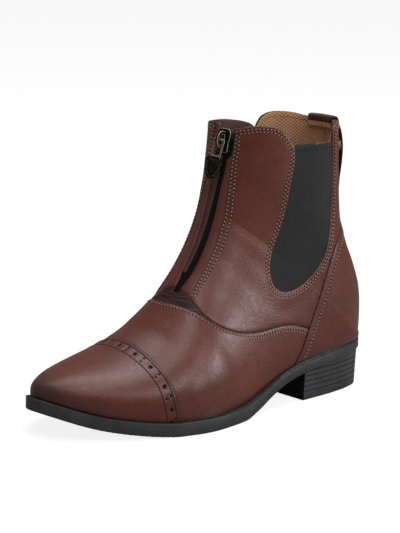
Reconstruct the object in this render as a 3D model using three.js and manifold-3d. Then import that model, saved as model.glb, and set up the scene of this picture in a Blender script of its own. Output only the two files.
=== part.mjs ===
// Left paddock boot: front zip, side gores, perforated toe cap, stacked block heel.
// Millimetres, +Z up, toe toward -Y, the boot's outer side toward +X.
// A point in side view is (s, z): s runs forward from the back of the heel, z up from the floor.
import * as THREE from "three";
import { mergeVertices } from "three/addons/utils/BufferGeometryUtils.js";
import Module from "manifold-3d";

const wasm = await Module();
wasm.setup();

// Driving sizes
const SOLE_LENGTH = 280;
const BALL_WIDTH = 99.3;
const BOOT_HEIGHT = 193;
const HEEL_SEAT = 34.1;
const WALL = 2;
const GAP = 0.3;
const LAYER = 0.8;
const OVERLAY = 1.3;
const FEATHER = 4;
const SOLE_RIM = 2.2;
const INSOLE = 2.4;
const GORE = 1.3;

// Steps of the fans and loops
const STATIONS = 34;
const CROWN_STEPS = 10;
const TUCK_STEPS = 4;
const SKIRT = 2.5;
const EASE = 0.7;

// Sole outline: share of length from the heel's back, half-widths as shares of the ball width
const OUTLINE = [
  { along: 0, outer: 0, inner: 0 },
  { along: 0.03, outer: 0.166, inner: 0.192 },
  { along: 0.08, outer: 0.24, inner: 0.276 },
  { along: 0.15, outer: 0.288, inner: 0.314 },
  { along: 0.25, outer: 0.324, inner: 0.312 },
  { along: 0.36, outer: 0.358, inner: 0.273 },
  { along: 0.45, outer: 0.423, inner: 0.278 },
  { along: 0.55, outer: 0.507, inner: 0.36 },
  { along: 0.63, outer: 0.541, inner: 0.44 },
  { along: 0.7, outer: 0.518, inner: 0.481 },
  { along: 0.78, outer: 0.455, inner: 0.472 },
  { along: 0.86, outer: 0.358, inner: 0.415 },
  { along: 0.93, outer: 0.232, inner: 0.322 },
  { along: 0.975, outer: 0.09, inner: 0.208 },
  { along: 1, outer: -0.08, inner: 0.08 },
];

// Underside and edge thickness of the sole, as shares of its length and of the heel seat
const SOLE_SIDE = [
  { along: 0, under: 0.798, thick: 0.2 },
  { along: 0.14, under: 0.71, thick: 0.2 },
  { along: 0.27, under: 0.585, thick: 0.2 },
  { along: 0.33, under: 0.465, thick: 0.205 },
  { along: 0.4, under: 0.255, thick: 0.235 },
  { along: 0.45, under: 0.1, thick: 0.26 },
  { along: 0.5, under: 0, thick: 0.28 },
  { along: 0.6, under: 0, thick: 0.265 },
  { along: 0.72, under: 0, thick: 0.262 },
  { along: 0.8, under: 0.07, thick: 0.258 },
  { along: 0.9, under: 0.232, thick: 0.253 },
  { along: 1, under: 0.52, thick: 0.25 },
];
const FLAT_FROM = 0.5;
const FLAT_TO = 0.72;

// Fan of sections over the last, from the toe tip to the collar, a row for each section.
// topS, topZ: ridge point; footS, footZ: back or bottom point, footZ null where it stands on the sole;
// outer, inner: greatest half-widths; belly: where they lie between foot and ridge;
// crown, tuck: how square the section is above and below the belly; ridge: sideways place of the ridge.
const SECTION = ["topS", "topZ", "footS", "footZ", "outer", "inner", "belly", "crown", "tuck", "ridge"];
const LAST = [
  [0.9857, 0.135, 0.9857, null, -0.08, 0.08, 0.3, 2, 2, -0.08],
  [0.982, 0.158, 0.982, null, 0, 0.115, 0.3, 2.1, 2, -0.078],
  [0.973, 0.174, 0.973, null, 0.055, 0.16, 0.3, 2.2, 2, -0.076],
  [0.953, 0.189, 0.955, null, 0.13, 0.225, 0.3, 2.2, 2, -0.068],
  [0.919, 0.207, 0.924, null, 0.218, 0.293, 0.3, 2.2, 2, -0.07],
  [0.872, 0.226, 0.879, null, 0.31, 0.355, 0.3, 2.1, 2.2, -0.07],
  [0.818, 0.245, 0.824, null, 0.387, 0.405, 0.3, 2.05, 2.2, -0.068],
  [0.762, 0.27, 0.762, null, 0.45, 0.43, 0.3, 2, 2.2, -0.06],
  [0.71, 0.307, 0.694, null, 0.487, 0.43, 0.3, 2, 2.2, -0.05],
  [0.667, 0.355, 0.625, null, 0.495, 0.405, 0.3, 2, 2.2, -0.04],
  [0.63, 0.41, 0.55, null, 0.475, 0.37, 0.3, 2, 2.2, -0.03],
  [0.598, 0.466, 0.463, null, 0.42, 0.335, 0.31, 2.05, 2.2, -0.02],
  [0.57, 0.523, 0.365, null, 0.372, 0.322, 0.33, 2.1, 2.3, -0.01],
  [0.547, 0.577, 0.255, null, 0.343, 0.32, 0.37, 2.2, 2.4, 0],
  [0.529, 0.628, 0.15, null, 0.33, 0.32, 0.41, 2.25, 2.4, 0],
  [0.516, 0.675, 0.062, null, 0.326, 0.323, 0.43, 2.3, 2.3, 0],
  [0.5125, 0.69, 0.034, null, 0.325, 0.323, 0.43, 2.3, 2.25, 0],
  [0.51, 0.701, 0.0195, null, 0.324, 0.324, 0.43, 2.3, 2.2, 0],
  [0.508, 0.71, 0.0125, null, 0.324, 0.324, 0.43, 2.3, 2.2, 0],
  [0.5, 0.745, 0.0075, 0.26, 0.323, 0.325, 0.44, 2.35, 2.1, 0],
  [0.493, 0.78, 0.0125, 0.345, 0.322, 0.327, 0.45, 2.4, 2.05, 0],
  [0.486, 0.815, 0.034, 0.43, 0.323, 0.33, 0.46, 2.4, 2, 0],
  [0.48, 0.85, 0.066, 0.52, 0.325, 0.333, 0.47, 2.4, 2, 0],
  [0.475, 0.885, 0.087, 0.61, 0.328, 0.337, 0.48, 2.4, 2, 0],
  [0.47, 0.92, 0.098, 0.71, 0.332, 0.34, 0.49, 2.4, 2.05, 0],
  [0.466, 0.96, 0.105, 0.82, 0.335, 0.343, 0.5, 2.4, 2.1, 0],
  [0.463, 1, 0.112, 0.94, 0.338, 0.346, 0.5, 2.4, 2.15, 0],
  [0.461, 1.035, 0.116, 1.035, 0.34, 0.348, 0.5, 2.4, 2.2, 0],
].map((row) => Object.fromEntries(SECTION.map((name, k) => [name, row[k]])));
const HEEL_ROW = LAST.findIndex((r) => r.footZ !== null) - 1;

// Smooth value of a column at a place between the rows
function between(values, u) {
  const last = values.length - 1;
  const i = Math.min(Math.floor(u), last - 1);
  const f = u - i;
  const b = values[i];
  const c = values[i + 1];
  const a = i > 0 ? values[i - 1] : 2 * b - c;
  const d = i + 2 <= last ? values[i + 2] : 2 * c - b;
  return b + 0.5 * f * (c - a + f * (2 * a - 5 * b + 4 * c - d + f * (3 * (b - c) + d - a)));
}

// Smooth value of one column over another one that grows
function tableAt(rows, key, value, place) {
  const keys = rows.map((r) => r[key]);
  const last = rows.length - 1;
  const at = Math.min(Math.max(place, keys[0]), keys[last]);
  let i = 0;
  while (i < last - 1 && keys[i + 1] < at) i += 1;
  const slope = (k) => {
    const p = Math.max(k - 1, 0);
    const n = Math.min(k + 1, last);
    return (rows[n][value] - rows[p][value]) / (keys[n] - keys[p]);
  };
  const span = keys[i + 1] - keys[i];
  const f = (at - keys[i]) / span;
  const a = rows[i][value];
  const b = rows[i + 1][value];
  const m = slope(i) * span;
  const n = slope(i + 1) * span;
  return a + f * (m + f * (3 * (b - a) - 2 * m - n + f * (2 * (a - b) + m + n)));
}

function underside(s) {
  const share = s / SOLE_LENGTH;
  if (share >= FLAT_FROM && share <= FLAT_TO) return 0;
  return Math.max(0, HEEL_SEAT * tableAt(SOLE_SIDE, "along", "under", share));
}

function seat(s) {
  const thick = HEEL_SEAT * tableAt(SOLE_SIDE, "along", "thick", s / SOLE_LENGTH);
  return underside(s) + thick;
}

// Outline of the sole seen from above, finely sampled from heel back to toe tip on one side
function sideCurve(column, sign) {
  const across = (r, name, way) => new THREE.Vector3(r.along * SOLE_LENGTH, way * r[name] * BALL_WIDTH, 0);
  const points = OUTLINE.map((r) => across(r, column, sign));
  const other = column === "outer" ? "inner" : "outer";
  const before = across(OUTLINE[1], other, -sign);
  const after = across(OUTLINE[OUTLINE.length - 2], other, -sign);
  const curve = new THREE.CatmullRomCurve3([before, ...points, after], false, "centripetal");
  const spans = points.length + 1;
  const made = [];
  const fine = 24;
  for (let k = fine; k <= (spans - 1) * fine; k += 1) made.push(curve.getPoint(k / (spans * fine)));
  return made;
}

const OUTER_SIDE = sideCurve("outer", 1);
const INNER_SIDE = sideCurve("inner", -1);

// The same outline moved inward by a distance, as sideways place over s
function insetSide(points, sign, inset) {
  return points.map((p, i) => {
    const a = points[Math.max(i - 1, 0)];
    const b = points[Math.min(i + 1, points.length - 1)];
    const t = b.clone().sub(a).normalize();
    const n = new THREE.Vector3(t.y * sign, -t.x * sign, 0);
    if (i === 0) n.set(1, 0, 0);
    if (i === points.length - 1) n.set(-1, 0, 0);
    return { s: p.x + n.x * inset, x: p.y + n.y * inset };
  });
}

function sideAt(points, s) {
  const last = points.length - 1;
  if (s <= points[0].s) return points[0].x;
  if (s >= points[last].s) return points[last].x;
  let i = 0;
  while (i < last - 1 && points[i + 1].s < s) i += 1;
  const f = (s - points[i].s) / Math.max(points[i + 1].s - points[i].s, 1e-9);
  return points[i].x + (points[i + 1].x - points[i].x) * Math.min(Math.max(f, 0), 1);
}

const FOOT_OUTER = insetSide(OUTER_SIDE, 1, FEATHER);
const FOOT_INNER = insetSide(INNER_SIDE, -1, FEATHER);

// One row of the fan at a place between its rows
function sectionAt(u) {
  const column = (get) => between(LAST.map(get), u);
  const topS = column((r) => r.topS) * SOLE_LENGTH;
  const topZ = column((r) => r.topZ) * BOOT_HEIGHT;
  const footS = column((r) => r.footS) * SOLE_LENGTH;
  const footHeight = (r) => (r.footZ === null ? seat(r.footS * SOLE_LENGTH) : r.footZ * BOOT_HEIGHT);
  const raised = LAST.map(footHeight);
  const footZ = u <= HEEL_ROW ? seat(footS) : between(raised, u);
  const open = u < HEEL_ROW;
  const wide = (key) => column((r) => r[key]) * BALL_WIDTH;
  const ridge = column((r) => r.ridge) * BALL_WIDTH;
  return {
    top: [topS, topZ],
    foot: [footS, footZ],
    outer: wide("outer"),
    inner: -wide("inner"),
    baseOuter: open ? sideAt(FOOT_OUTER, footS) : 0,
    baseInner: open ? sideAt(FOOT_INNER, footS) : 0,
    belly: column((r) => r.belly),
    crown: column((r) => r.crown),
    tuck: column((r) => r.tuck),
    ridge,
  };
}

// Point of the last's skin: u picks the section, v runs from the outer foot (1) over the ridge (0)
// to the inner foot (-1)
const CROWN_SHARE = CROWN_STEPS / (CROWN_STEPS + TUCK_STEPS);
function skinPoint(u, v) {
  const q = sectionAt(Math.min(Math.max(u, 0), LAST.length - 1));
  if (u <= 0) return new THREE.Vector3(q.ridge, -q.foot[0], q.foot[1]);
  const side = v >= 0 ? q.outer : q.inner;
  const base = v >= 0 ? q.baseOuter : q.baseInner;
  const a = Math.abs(v);
  let t;
  let x;
  if (a <= CROWN_SHARE) {
    const angle = (Math.PI / 2) * (1 - a / CROWN_SHARE);
    const e = 2 / q.crown;
    t = q.belly + (1 - q.belly) * Math.sin(angle) ** e;
    x = q.ridge + (side - q.ridge) * Math.max(Math.cos(angle), 0) ** e;
  } else {
    const angle = (Math.PI / 2) * ((a - CROWN_SHARE) / (1 - CROWN_SHARE));
    const e = 2 / q.tuck;
    t = q.belly * (1 - Math.sin(angle) ** e);
    x = base + (side - base) * Math.max(Math.cos(angle), 0) ** e;
  }
  const s = q.foot[0] + (q.top[0] - q.foot[0]) * t;
  const z = q.foot[1] + (q.top[1] - q.foot[1]) * t;
  return new THREE.Vector3(x, -s, z);
}

function skinNormal(u, v) {
  const du = 0.05;
  const dv = 0.02;
  if (u < 0.02) return new THREE.Vector3(0, -1, 0);
  const rear = Math.abs(v) > 0.999;
  const v1 = rear && u >= HEEL_ROW ? -1 + dv : Math.max(v - dv, -1);
  const v2 = rear && u >= HEEL_ROW ? 1 - dv : Math.min(v + dv, 1);
  const along = skinPoint(u + du, v).sub(skinPoint(u - du, v));
  const across = skinPoint(u, v2).sub(skinPoint(u, v1));
  if (rear && u >= HEEL_ROW) across.negate();
  return along.cross(across).normalize().negate();
}

// Point off the skin; the foot of an open section reaches below the seat, where it is trimmed later
function offsetPoint(u, v, out) {
  const p = skinPoint(u, v).addScaledVector(skinNormal(u, v), out - EASE);
  const foot = u <= 0 || (u <= HEEL_ROW && Math.abs(v) > 0.999);
  return foot ? p.setZ(p.z - SKIRT) : p;
}

// Solid from loose triangles: merges equal corners, drops empty faces, turns it right side out
function solidOf(triangles) {
  const flat = new Float32Array(triangles.flat().flatMap((p) => [p.x, p.y, p.z]));
  const loose = new THREE.BufferGeometry().setAttribute("position", new THREE.BufferAttribute(flat, 3));
  const merged = mergeVertices(loose, 1e-4);
  const faces = [];
  const index = merged.index.array;
  for (let i = 0; i < index.length; i += 3) {
    const [a, b, c] = [index[i], index[i + 1], index[i + 2]];
    if (a !== b && b !== c && c !== a) faces.push(a, b, c);
  }
  return manifoldOf(merged.attributes.position.array, faces);
}

function manifoldOf(positions, faces) {
  const mesh = (list) => ({ numProp: 3, vertProperties: positions, triVerts: new Uint32Array(list) });
  const make = (list) => new wasm.Manifold(new wasm.Mesh(mesh(list)));
  const made = make(faces);
  if (made.volume() > 0) return made;
  const turned = [];
  for (let i = 0; i < faces.length; i += 3) turned.push(faces[i], faces[i + 2], faces[i + 1]);
  return make(turned);
}

function solidOfGeometry(geometry) {
  const plain = geometry.index ? geometry.toNonIndexed() : geometry;
  const p = plain.getAttribute("position");
  const triangles = [];
  for (let i = 0; i < p.count; i += 3) {
    triangles.push([0, 1, 2].map((k) => new THREE.Vector3().fromBufferAttribute(p, i + k)));
  }
  return solidOf(triangles);
}

function quad(list, a, b, c, d) {
  list.push([a, b, c], [a, c, d]);
}

// Places over a section, from the outer foot to the inner
function placesAcross() {
  const half = CROWN_STEPS + TUCK_STEPS;
  const across = [];
  for (let k = 0; k <= 2 * half; k += 1) across.push(1 - k / half);
  return across;
}

// Closed sheet between two offsets of the last's skin, over a range of its rows
function shell(inside, outside, from = 0, to = LAST.length - 1) {
  const across = placesAcross();
  const rows = [];
  for (let u = from; u <= to; u += 1) {
    rows.push({
      u,
      out: across.map((v) => offsetPoint(u, v, outside)),
      in: across.map((v) => offsetPoint(u, v, inside)),
    });
  }
  for (const row of rows) {
    if (row.u < HEEL_ROW) continue;
    row.out[across.length - 1] = row.out[0];
    row.in[across.length - 1] = row.in[0];
  }
  const list = [];
  const n = across.length - 1;
  for (let i = 0; i + 1 < rows.length; i += 1) {
    const a = rows[i];
    const b = rows[i + 1];
    for (let k = 0; k < n; k += 1) {
      quad(list, a.out[k], b.out[k], b.out[k + 1], a.out[k + 1]);
      quad(list, a.in[k], a.in[k + 1], b.in[k + 1], b.in[k]);
    }
    if (a.u < HEEL_ROW) {
      quad(list, a.out[0], a.in[0], b.in[0], b.out[0]);
      quad(list, a.out[n], b.out[n], b.in[n], a.in[n]);
    }
  }
  const first = rows[0];
  const end = rows[rows.length - 1];
  for (let k = 0; k < n; k += 1) {
    quad(list, first.out[k], first.out[k + 1], first.in[k + 1], first.in[k]);
    quad(list, end.out[k], end.in[k], end.in[k + 1], end.out[k + 1]);
  }
  return solidOf(list);
}

// Filled form of the last at an offset
function filled(out) {
  const across = placesAcross();
  const n = across.length - 1;
  const rows = LAST.map((r, u) => across.map((v) => offsetPoint(u, v, out)));
  for (let u = HEEL_ROW; u < rows.length; u += 1) rows[u][n] = rows[u][0];
  const list = [];
  for (let i = 0; i + 1 < rows.length; i += 1) {
    const a = rows[i];
    const b = rows[i + 1];
    for (let k = 0; k < n; k += 1) quad(list, a[k], b[k], b[k + 1], a[k + 1]);
    if (i < HEEL_ROW) quad(list, a[0], a[n], b[n], b[0]);
  }
  const end = rows[rows.length - 1];
  const middle = end.reduce((m, p) => m.addScaledVector(p, 1 / end.length), new THREE.Vector3());
  for (let k = 0; k < n; k += 1) list.push([end[k], middle, end[k + 1]]);
  return solidOf(list);
}

// Prism over a side-view outline, between two sideways places
function sidePrism(points, x0, x1) {
  const shape = new THREE.Shape(points.map(([s, z]) => new THREE.Vector2(s, z)));
  const g = new THREE.ExtrudeGeometry(shape, { depth: x1 - x0, bevelEnabled: false });
  const p = g.getAttribute("position");
  for (let i = 0; i < p.count; i += 1) p.setXYZ(i, x0 + p.getZ(i), -p.getX(i), p.getY(i));
  return solidOfGeometry(g);
}

// Prism over a front-view outline, between two places along the foot
function frontPrism(points, s0, s1) {
  const shape = new THREE.Shape(points.map(([x, z]) => new THREE.Vector2(x, z)));
  const g = new THREE.ExtrudeGeometry(shape, { depth: s1 - s0, bevelEnabled: false });
  const p = g.getAttribute("position");
  for (let i = 0; i < p.count; i += 1) p.setXYZ(i, p.getX(i), -s1 + p.getZ(i), p.getY(i));
  return solidOfGeometry(g);
}

// Places along the sole, closer together at its ends
function stationAt(i, inset) {
  return inset + ((SOLE_LENGTH - 2 * inset) / 2) * (1 - Math.cos((Math.PI * i) / STATIONS));
}

// Loops of the sole's outline at an inset, from heel back to toe tip, both sides at the same stations
function soleLoop(inset) {
  const outer = insetSide(OUTER_SIDE, 1, inset);
  const inner = insetSide(INNER_SIDE, -1, inset);
  const loop = [];
  for (let i = 0; i <= STATIONS; i += 1) {
    const s = stationAt(i, inset);
    const end = i === 0 || i === STATIONS;
    const middle = (sideAt(outer, s) + sideAt(inner, s)) / 2;
    loop.push({ s, outer: end ? middle : sideAt(outer, s), inner: end ? middle : sideAt(inner, s) });
  }
  return loop;
}

// Solid lofted through outline loops, each at its own height over s
function stack(levels) {
  const rings = levels.map(({ inset, height, loop }) =>
    (loop ?? soleLoop(inset)).map((p) => ({
      outer: new THREE.Vector3(p.outer, -p.s, height(p.s)),
      inner: new THREE.Vector3(p.inner, -p.s, height(p.s)),
    })),
  );
  const list = [];
  const bottom = rings[0];
  const top = rings[rings.length - 1];
  for (let i = 0; i + 1 < bottom.length; i += 1) {
    quad(list, bottom[i].outer, bottom[i].inner, bottom[i + 1].inner, bottom[i + 1].outer);
    quad(list, top[i].outer, top[i + 1].outer, top[i + 1].inner, top[i].inner);
    for (let k = 0; k + 1 < rings.length; k += 1) {
      const a = rings[k];
      const b = rings[k + 1];
      quad(list, a[i].outer, a[i + 1].outer, b[i + 1].outer, b[i].outer);
      quad(list, a[i].inner, b[i].inner, b[i + 1].inner, a[i + 1].inner);
    }
  }
  return solidOf(list);
}

// Side-view outline points given as shares of the sole's length and the boot's height
function sideShares(rows) {
  return rows.map(([s, z]) => [s * SOLE_LENGTH, z * BOOT_HEIGHT]);
}

// Smooth closed or open run through a few points
function smooth(points, steps, closed = false) {
  const curve = new THREE.CatmullRomCurve3(
    points.map(([a, b]) => new THREE.Vector3(a, b, 0)),
    closed,
    "centripetal",
  );
  return curve.getPoints(steps).map((p) => [p.x, p.y]);
}

// Outline points moved inward, for a loop that runs anticlockwise
function shrink(points, inset) {
  const n = points.length;
  return points.map((p, i) => {
    const a = points[(i + n - 1) % n];
    const b = points[(i + 1) % n];
    const along = new THREE.Vector2(b[0] - a[0], b[1] - a[1]).normalize();
    return [p[0] - along.y * inset, p[1] + along.x * inset];
  });
}

function seatLine(lift) {
  const line = [];
  for (let i = 0; i <= STATIONS; i += 1) {
    const s = stationAt(i, 0);
    line.push([s, seat(s) + lift]);
  }
  return [[-BEYOND, seat(0) + lift], ...line, [SOLE_LENGTH + BEYOND, seat(SOLE_LENGTH) + lift]];
}

// Collar lines from front to back: the outer side dips over its gore, the inner side has a narrower dip
const FAR = 80;
const BEYOND = 20;
const LOW = -30;
const HIGH = 1.25 * BOOT_HEIGHT;
const BACK_HIGH = 0.982;
const COLLAR_OUTER = sideShares([
  [0.52, 0.974],
  [0.47, 0.976],
  [0.455, 0.985],
  [0.43, 0.995],
  [0.385, 0.99],
  [0.362, 0.972],
  [0.347, 0.948],
  [0.336, 0.926],
  [0.19, 0.922],
  [0.187, 0.949],
  [0.181, 0.97],
  [0.165, 0.98],
  [0.12, BACK_HIGH],
  [0.05, BACK_HIGH],
]);
const COLLAR_INNER = sideShares([
  [0.52, 1],
  [0.478, 1],
  [0.455, 0.993],
  [0.42, 0.986],
  [0.35, 0.979],
  [0.3, 0.969],
  [0.27, 0.958],
  [0.256, 0.947],
  [0.25, 0.938],
  [0.247, 0.938],
  [0.24, 0.958],
  [0.228, 0.98],
  [0.205, 0.993],
  [0.17, 0.994],
  [0.146, 0.989],
  [0.13, BACK_HIGH],
  [0.05, BACK_HIGH],
]);

function keepForm(lift) {
  const back = [-BEYOND, BACK_HIGH * BOOT_HEIGHT];
  const outer = sidePrism([...seatLine(lift), ...COLLAR_OUTER, back], 0, FAR);
  const inner = sidePrism([...seatLine(lift), ...COLLAR_INNER, back], -FAR, 0);
  return outer.add(inner);
}
const KEEP = keepForm(GAP);
const ABOVE_SEAT = sidePrism([...seatLine(0), [SOLE_LENGTH + BEYOND, HIGH], [-BEYOND, HIGH]], -FAR, FAR);

// Gore windows, anticlockwise in side view from the front of the top
const GORE_OUTER = sideShares([
  [0.345, 1.1],
  [0.332, 0.93],
  [0.329, 0.87],
  [0.337, 0.79],
  [0.35, 0.675],
  [0.371, 0.59],
  [0.384, 0.545],
  [0.39, 0.492],
  [0.38, 0.44],
  [0.354, 0.413],
  [0.31, 0.413],
  [0.252, 0.455],
  [0.214, 0.515],
  [0.194, 0.6],
  [0.183, 0.7],
  [0.182, 0.85],
  [0.186, 0.93],
  [0.187, 1.1],
]).reverse();
const GORE_INNER = sideShares([
  [0.264, 0.912],
  [0.284, 0.904],
  [0.305, 0.865],
  [0.33, 0.79],
  [0.35, 0.675],
  [0.371, 0.59],
  [0.384, 0.545],
  [0.39, 0.492],
  [0.38, 0.44],
  [0.354, 0.413],
  [0.31, 0.413],
  [0.252, 0.455],
  [0.214, 0.515],
  [0.194, 0.6],
  [0.187, 0.7],
  [0.197, 0.85],
  [0.218, 0.896],
  [0.238, 0.912],
]).reverse();
const windows = sidePrism(GORE_OUTER, 8, FAR).add(sidePrism(GORE_INNER, -FAR, -8));

// Zip opening seen from the front: sideways places in millimetres beside the zip's centre line
const ZIP_SIDE = 3;
const ZIP_SLIT = [
  { high: 0.435, inner: -0.5, outer: 4.5 },
  { high: 0.5, inner: -2.5, outer: 6.8 },
  { high: 0.56, inner: -3.2, outer: 7 },
  { high: 0.64, inner: -4, outer: 6.2 },
  { high: 0.74, inner: -5, outer: 5.6 },
  { high: 0.875, inner: -6, outer: 5.6 },
  { high: 0.895, inner: -6, outer: 9.2 },
  { high: 1.1, inner: -6, outer: 9.2 },
];
function zipSlit(grow) {
  const right = ZIP_SLIT.map((r) => [ZIP_SIDE + r.outer + grow, r.high * BOOT_HEIGHT]);
  const left = ZIP_SLIT.map((r) => [ZIP_SIDE + r.inner - grow, r.high * BOOT_HEIGHT]);
  return [...right, ...left.reverse()];
}
const FRONT_FROM = 0.36 * SOLE_LENGTH;
const FRONT_TO = 0.7 * SOLE_LENGTH;
const slit = frontPrism(zipSlit(0), FRONT_FROM, FRONT_TO);

// Quarters: their front edges stand back from the zip by the facing strips
const FACING = [
  { high: 0.4, beside: 13.3 },
  { high: 0.44, beside: 12.8 },
  { high: 0.5, beside: 11.8 },
  { high: 0.56, beside: 11.7 },
  { high: 0.64, beside: 10.7 },
  { high: 0.74, beside: 10 },
  { high: 0.86, beside: 9 },
  { high: 0.91, beside: 9.2 },
  { high: 1.1, beside: 9.2 },
];
const facingRight = FACING.map((r) => [ZIP_SIDE + r.beside, r.high * BOOT_HEIGHT]);
const facingLeft = FACING.map((r) => [ZIP_SIDE - r.beside, r.high * BOOT_HEIGHT]).reverse();
const facing = frontPrism([...facingRight, ...facingLeft], FRONT_FROM, FRONT_TO);

// Seams in side view
const COUNTER_EDGE = smooth(
  sideShares([
    [0.33, 0.04],
    [0.302, 0.142],
    [0.279, 0.2],
    [0.26, 0.264],
    [0.234, 0.346],
    [0.208, 0.442],
    [0.177, 0.537],
    [0.15, 0.58],
    [0.1, 0.618],
    [0.04, 0.63],
  ]),
  14,
);
const QUARTER_EDGE = smooth(
  sideShares([
    [0.63, 0.475],
    [0.603, 0.455],
    [0.598, 0.41],
    [0.588, 0.375],
    [0.564, 0.344],
    [0.527, 0.318],
    [0.482, 0.301],
    [0.434, 0.294],
    [0.36, 0.299],
    [0.31, 0.292],
    [0.25, 0.268],
  ]),
  18,
);
const VAMP_EDGE = smooth(
  sideShares([
    [0.7, 0.43],
    [0.65, 0.402],
    [0.634, 0.399],
    [0.612, 0.383],
    [0.59, 0.358],
    [0.56, 0.332],
    [0.524, 0.31],
    [0.482, 0.294],
    [0.434, 0.287],
    [0.36, 0.292],
    [0.31, 0.285],
    [0.24, 0.25],
  ]),
  18,
);
const CAP_EDGE = smooth(
  sideShares([
    [0.7, -0.05],
    [0.714, 0.05],
    [0.727, 0.12],
    [0.736, 0.19],
    [0.744, 0.255],
    [0.744, 0.29],
    [0.744, 0.4],
  ]),
  10,
);

const counterHigh = 0.63 * BOOT_HEIGHT;
const counterFoot = [[LOW, LOW], [0.36 * SOLE_LENGTH, LOW]];
const counterForm = sidePrism([...COUNTER_EDGE, [LOW, counterHigh], ...counterFoot], -FAR, FAR);
const counterGap = sidePrism(
  [...COUNTER_EDGE.map(([s, z]) => [s + GAP, z + GAP]), [LOW, counterHigh + GAP], ...counterFoot],
  -FAR,
  FAR,
);
const toeEnd = [[SOLE_LENGTH + BEYOND, LOW], [SOLE_LENGTH + BEYOND, 0.47 * BOOT_HEIGHT]];
const capForm = sidePrism([...toeEnd, ...[...CAP_EDGE].reverse()], -FAR, FAR);
const capGap = sidePrism([...toeEnd, ...CAP_EDGE.map(([s, z]) => [s - GAP, z]).reverse()], -FAR, FAR);
const quarterBack = [[0.07 * SOLE_LENGTH, 0.21 * BOOT_HEIGHT], [LOW, 0.31 * BOOT_HEIGHT], [LOW, HIGH]];
const quarterForm = sidePrism([...QUARTER_EDGE, ...quarterBack, [SOLE_LENGTH, HIGH]], -FAR, FAR);
const vampBack = [[0.107 * SOLE_LENGTH, 0.155 * BOOT_HEIGHT], [0.07 * SOLE_LENGTH, LOW]];
const vampFront = [[SOLE_LENGTH + BEYOND, LOW], [SOLE_LENGTH + BEYOND, 0.52 * BOOT_HEIGHT]];
const vampForm = sidePrism([...VAMP_EDGE, ...vampBack, ...vampFront], -FAR, FAR);

// Upper: one hollow wall with the quarters and the vamp as steps on it
const wall = shell(-WALL, 0);
const layer = shell(-WALL / 2, LAYER);
const quarters = layer.intersect(quarterForm).subtract(counterGap).subtract(facing);
const vampSheet = shell(-WALL / 2, LAYER * 0.8, 0, HEEL_ROW);
const vamp = vampSheet.intersect(vampForm).subtract(counterGap).subtract(capGap);
const upper = wall.add(quarters).add(vamp).intersect(KEEP).subtract(windows).subtract(slit);

// Toe cap and heel counter lie on the wall
const CAP_TO_ROW = 9;
const toeCap = shell(GAP, OVERLAY, 0, CAP_TO_ROW).intersect(capForm).intersect(KEEP);
const counter = shell(GAP, OVERLAY).intersect(counterForm).intersect(KEEP);

// Gores set in their windows
function gore(outline, x0, x1) {
  const sheet = shell(-WALL, GORE - WALL).intersect(KEEP);
  const lower = shrink(outline, GAP);
  return sheet.intersect(sidePrism(lower, x0, x1));
}
const HEM_FRONT = 0.921 * BOOT_HEIGHT;
const HEM_BACK = 0.918 * BOOT_HEIGHT;
const goreTrim = sidePrism([[0, 0], [SOLE_LENGTH, 0], [SOLE_LENGTH, HEM_FRONT], [0, HEM_BACK]], -FAR, FAR);
const goreOuter = gore(GORE_OUTER, 8, FAR).intersect(goreTrim);
const goreInner = gore(GORE_INNER, -FAR, -8);

// Insole
const insole = stack([
  { inset: FEATHER + WALL + 2.4, height: (s) => seat(s) + 2 * GAP },
  { inset: FEATHER + WALL + 1.8, height: (s) => seat(s) + 2 * GAP + INSOLE },
]);

// Outsole with its ledge and rim, cut to take the upper's foot
function rim(s) {
  const share = s / SOLE_LENGTH;
  const rise = Math.min(Math.max((0.62 - share) / 0.16, 0), 1);
  return 0.5 + (SOLE_RIM - 0.5) * rise * rise * (3 - 2 * rise);
}
const EDGE = 0.8;
const LEDGE = 1.2;
const sole = stack([
  { inset: EDGE, height: underside },
  { inset: 0, height: (s) => underside(s) + EDGE },
  { inset: 0, height: (s) => seat(s) - EDGE / 2 },
  { inset: EDGE / 2, height: seat },
  { inset: LEDGE, height: seat },
  { inset: LEDGE, height: (s) => seat(s) + rim(s) },
]).subtract(filled(OVERLAY + GAP).intersect(ABOVE_SEAT));

// Heel block: layers parted by grooves, its top cut to the sole's underside
const HEEL_BREAST = 0.264 * SOLE_LENGTH;
const HEEL_INSET = 0.9;
const HEEL_TAPER = 1.2;
const GROOVE = 0.7;
const HEEL_LAYERS = [0.182, 0.29, 0.399, 0.504, 0.61];
const HEEL_STATIONS = 12;
function heelLoop(inset) {
  const outer = insetSide(OUTER_SIDE, 1, inset);
  const inner = insetSide(INNER_SIDE, -1, inset);
  const loop = [];
  for (let i = 0; i <= HEEL_STATIONS; i += 1) {
    const s = inset + (HEEL_BREAST - inset) * (1 - Math.cos((Math.PI * i) / (2 * HEEL_STATIONS)));
    loop.push({ s, outer: sideAt(outer, s), inner: sideAt(inner, s) });
  }
  const middle = (loop[0].outer + loop[0].inner) / 2;
  loop[0].outer = middle;
  loop[0].inner = middle;
  loop.push({ s: HEEL_BREAST, outer: middle, inner: middle });
  return loop;
}
function heelInset(z) {
  return HEEL_INSET + HEEL_TAPER * (1 - z / HEEL_SEAT);
}
const heelLevels = [[0, 0]];
for (const share of HEEL_LAYERS) {
  const z = share * HEEL_SEAT;
  heelLevels.push([z - GROOVE * 0.7, 0], [z - GROOVE * 0.3, GROOVE]);
  heelLevels.push([z + GROOVE * 0.3, GROOVE], [z + GROOVE * 0.7, 0]);
}
heelLevels.push([HEEL_SEAT, 0]);
const heelStack = stack(
  heelLevels.map(([z, deep]) => ({ loop: heelLoop(heelInset(z) + deep), height: () => z })),
);
const underLine = [];
for (let i = 0; i <= 20; i += 1) {
  const s = (HEEL_BREAST * 1.1 * i) / 20;
  underLine.push([s, underside(s) - GAP]);
}
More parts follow.
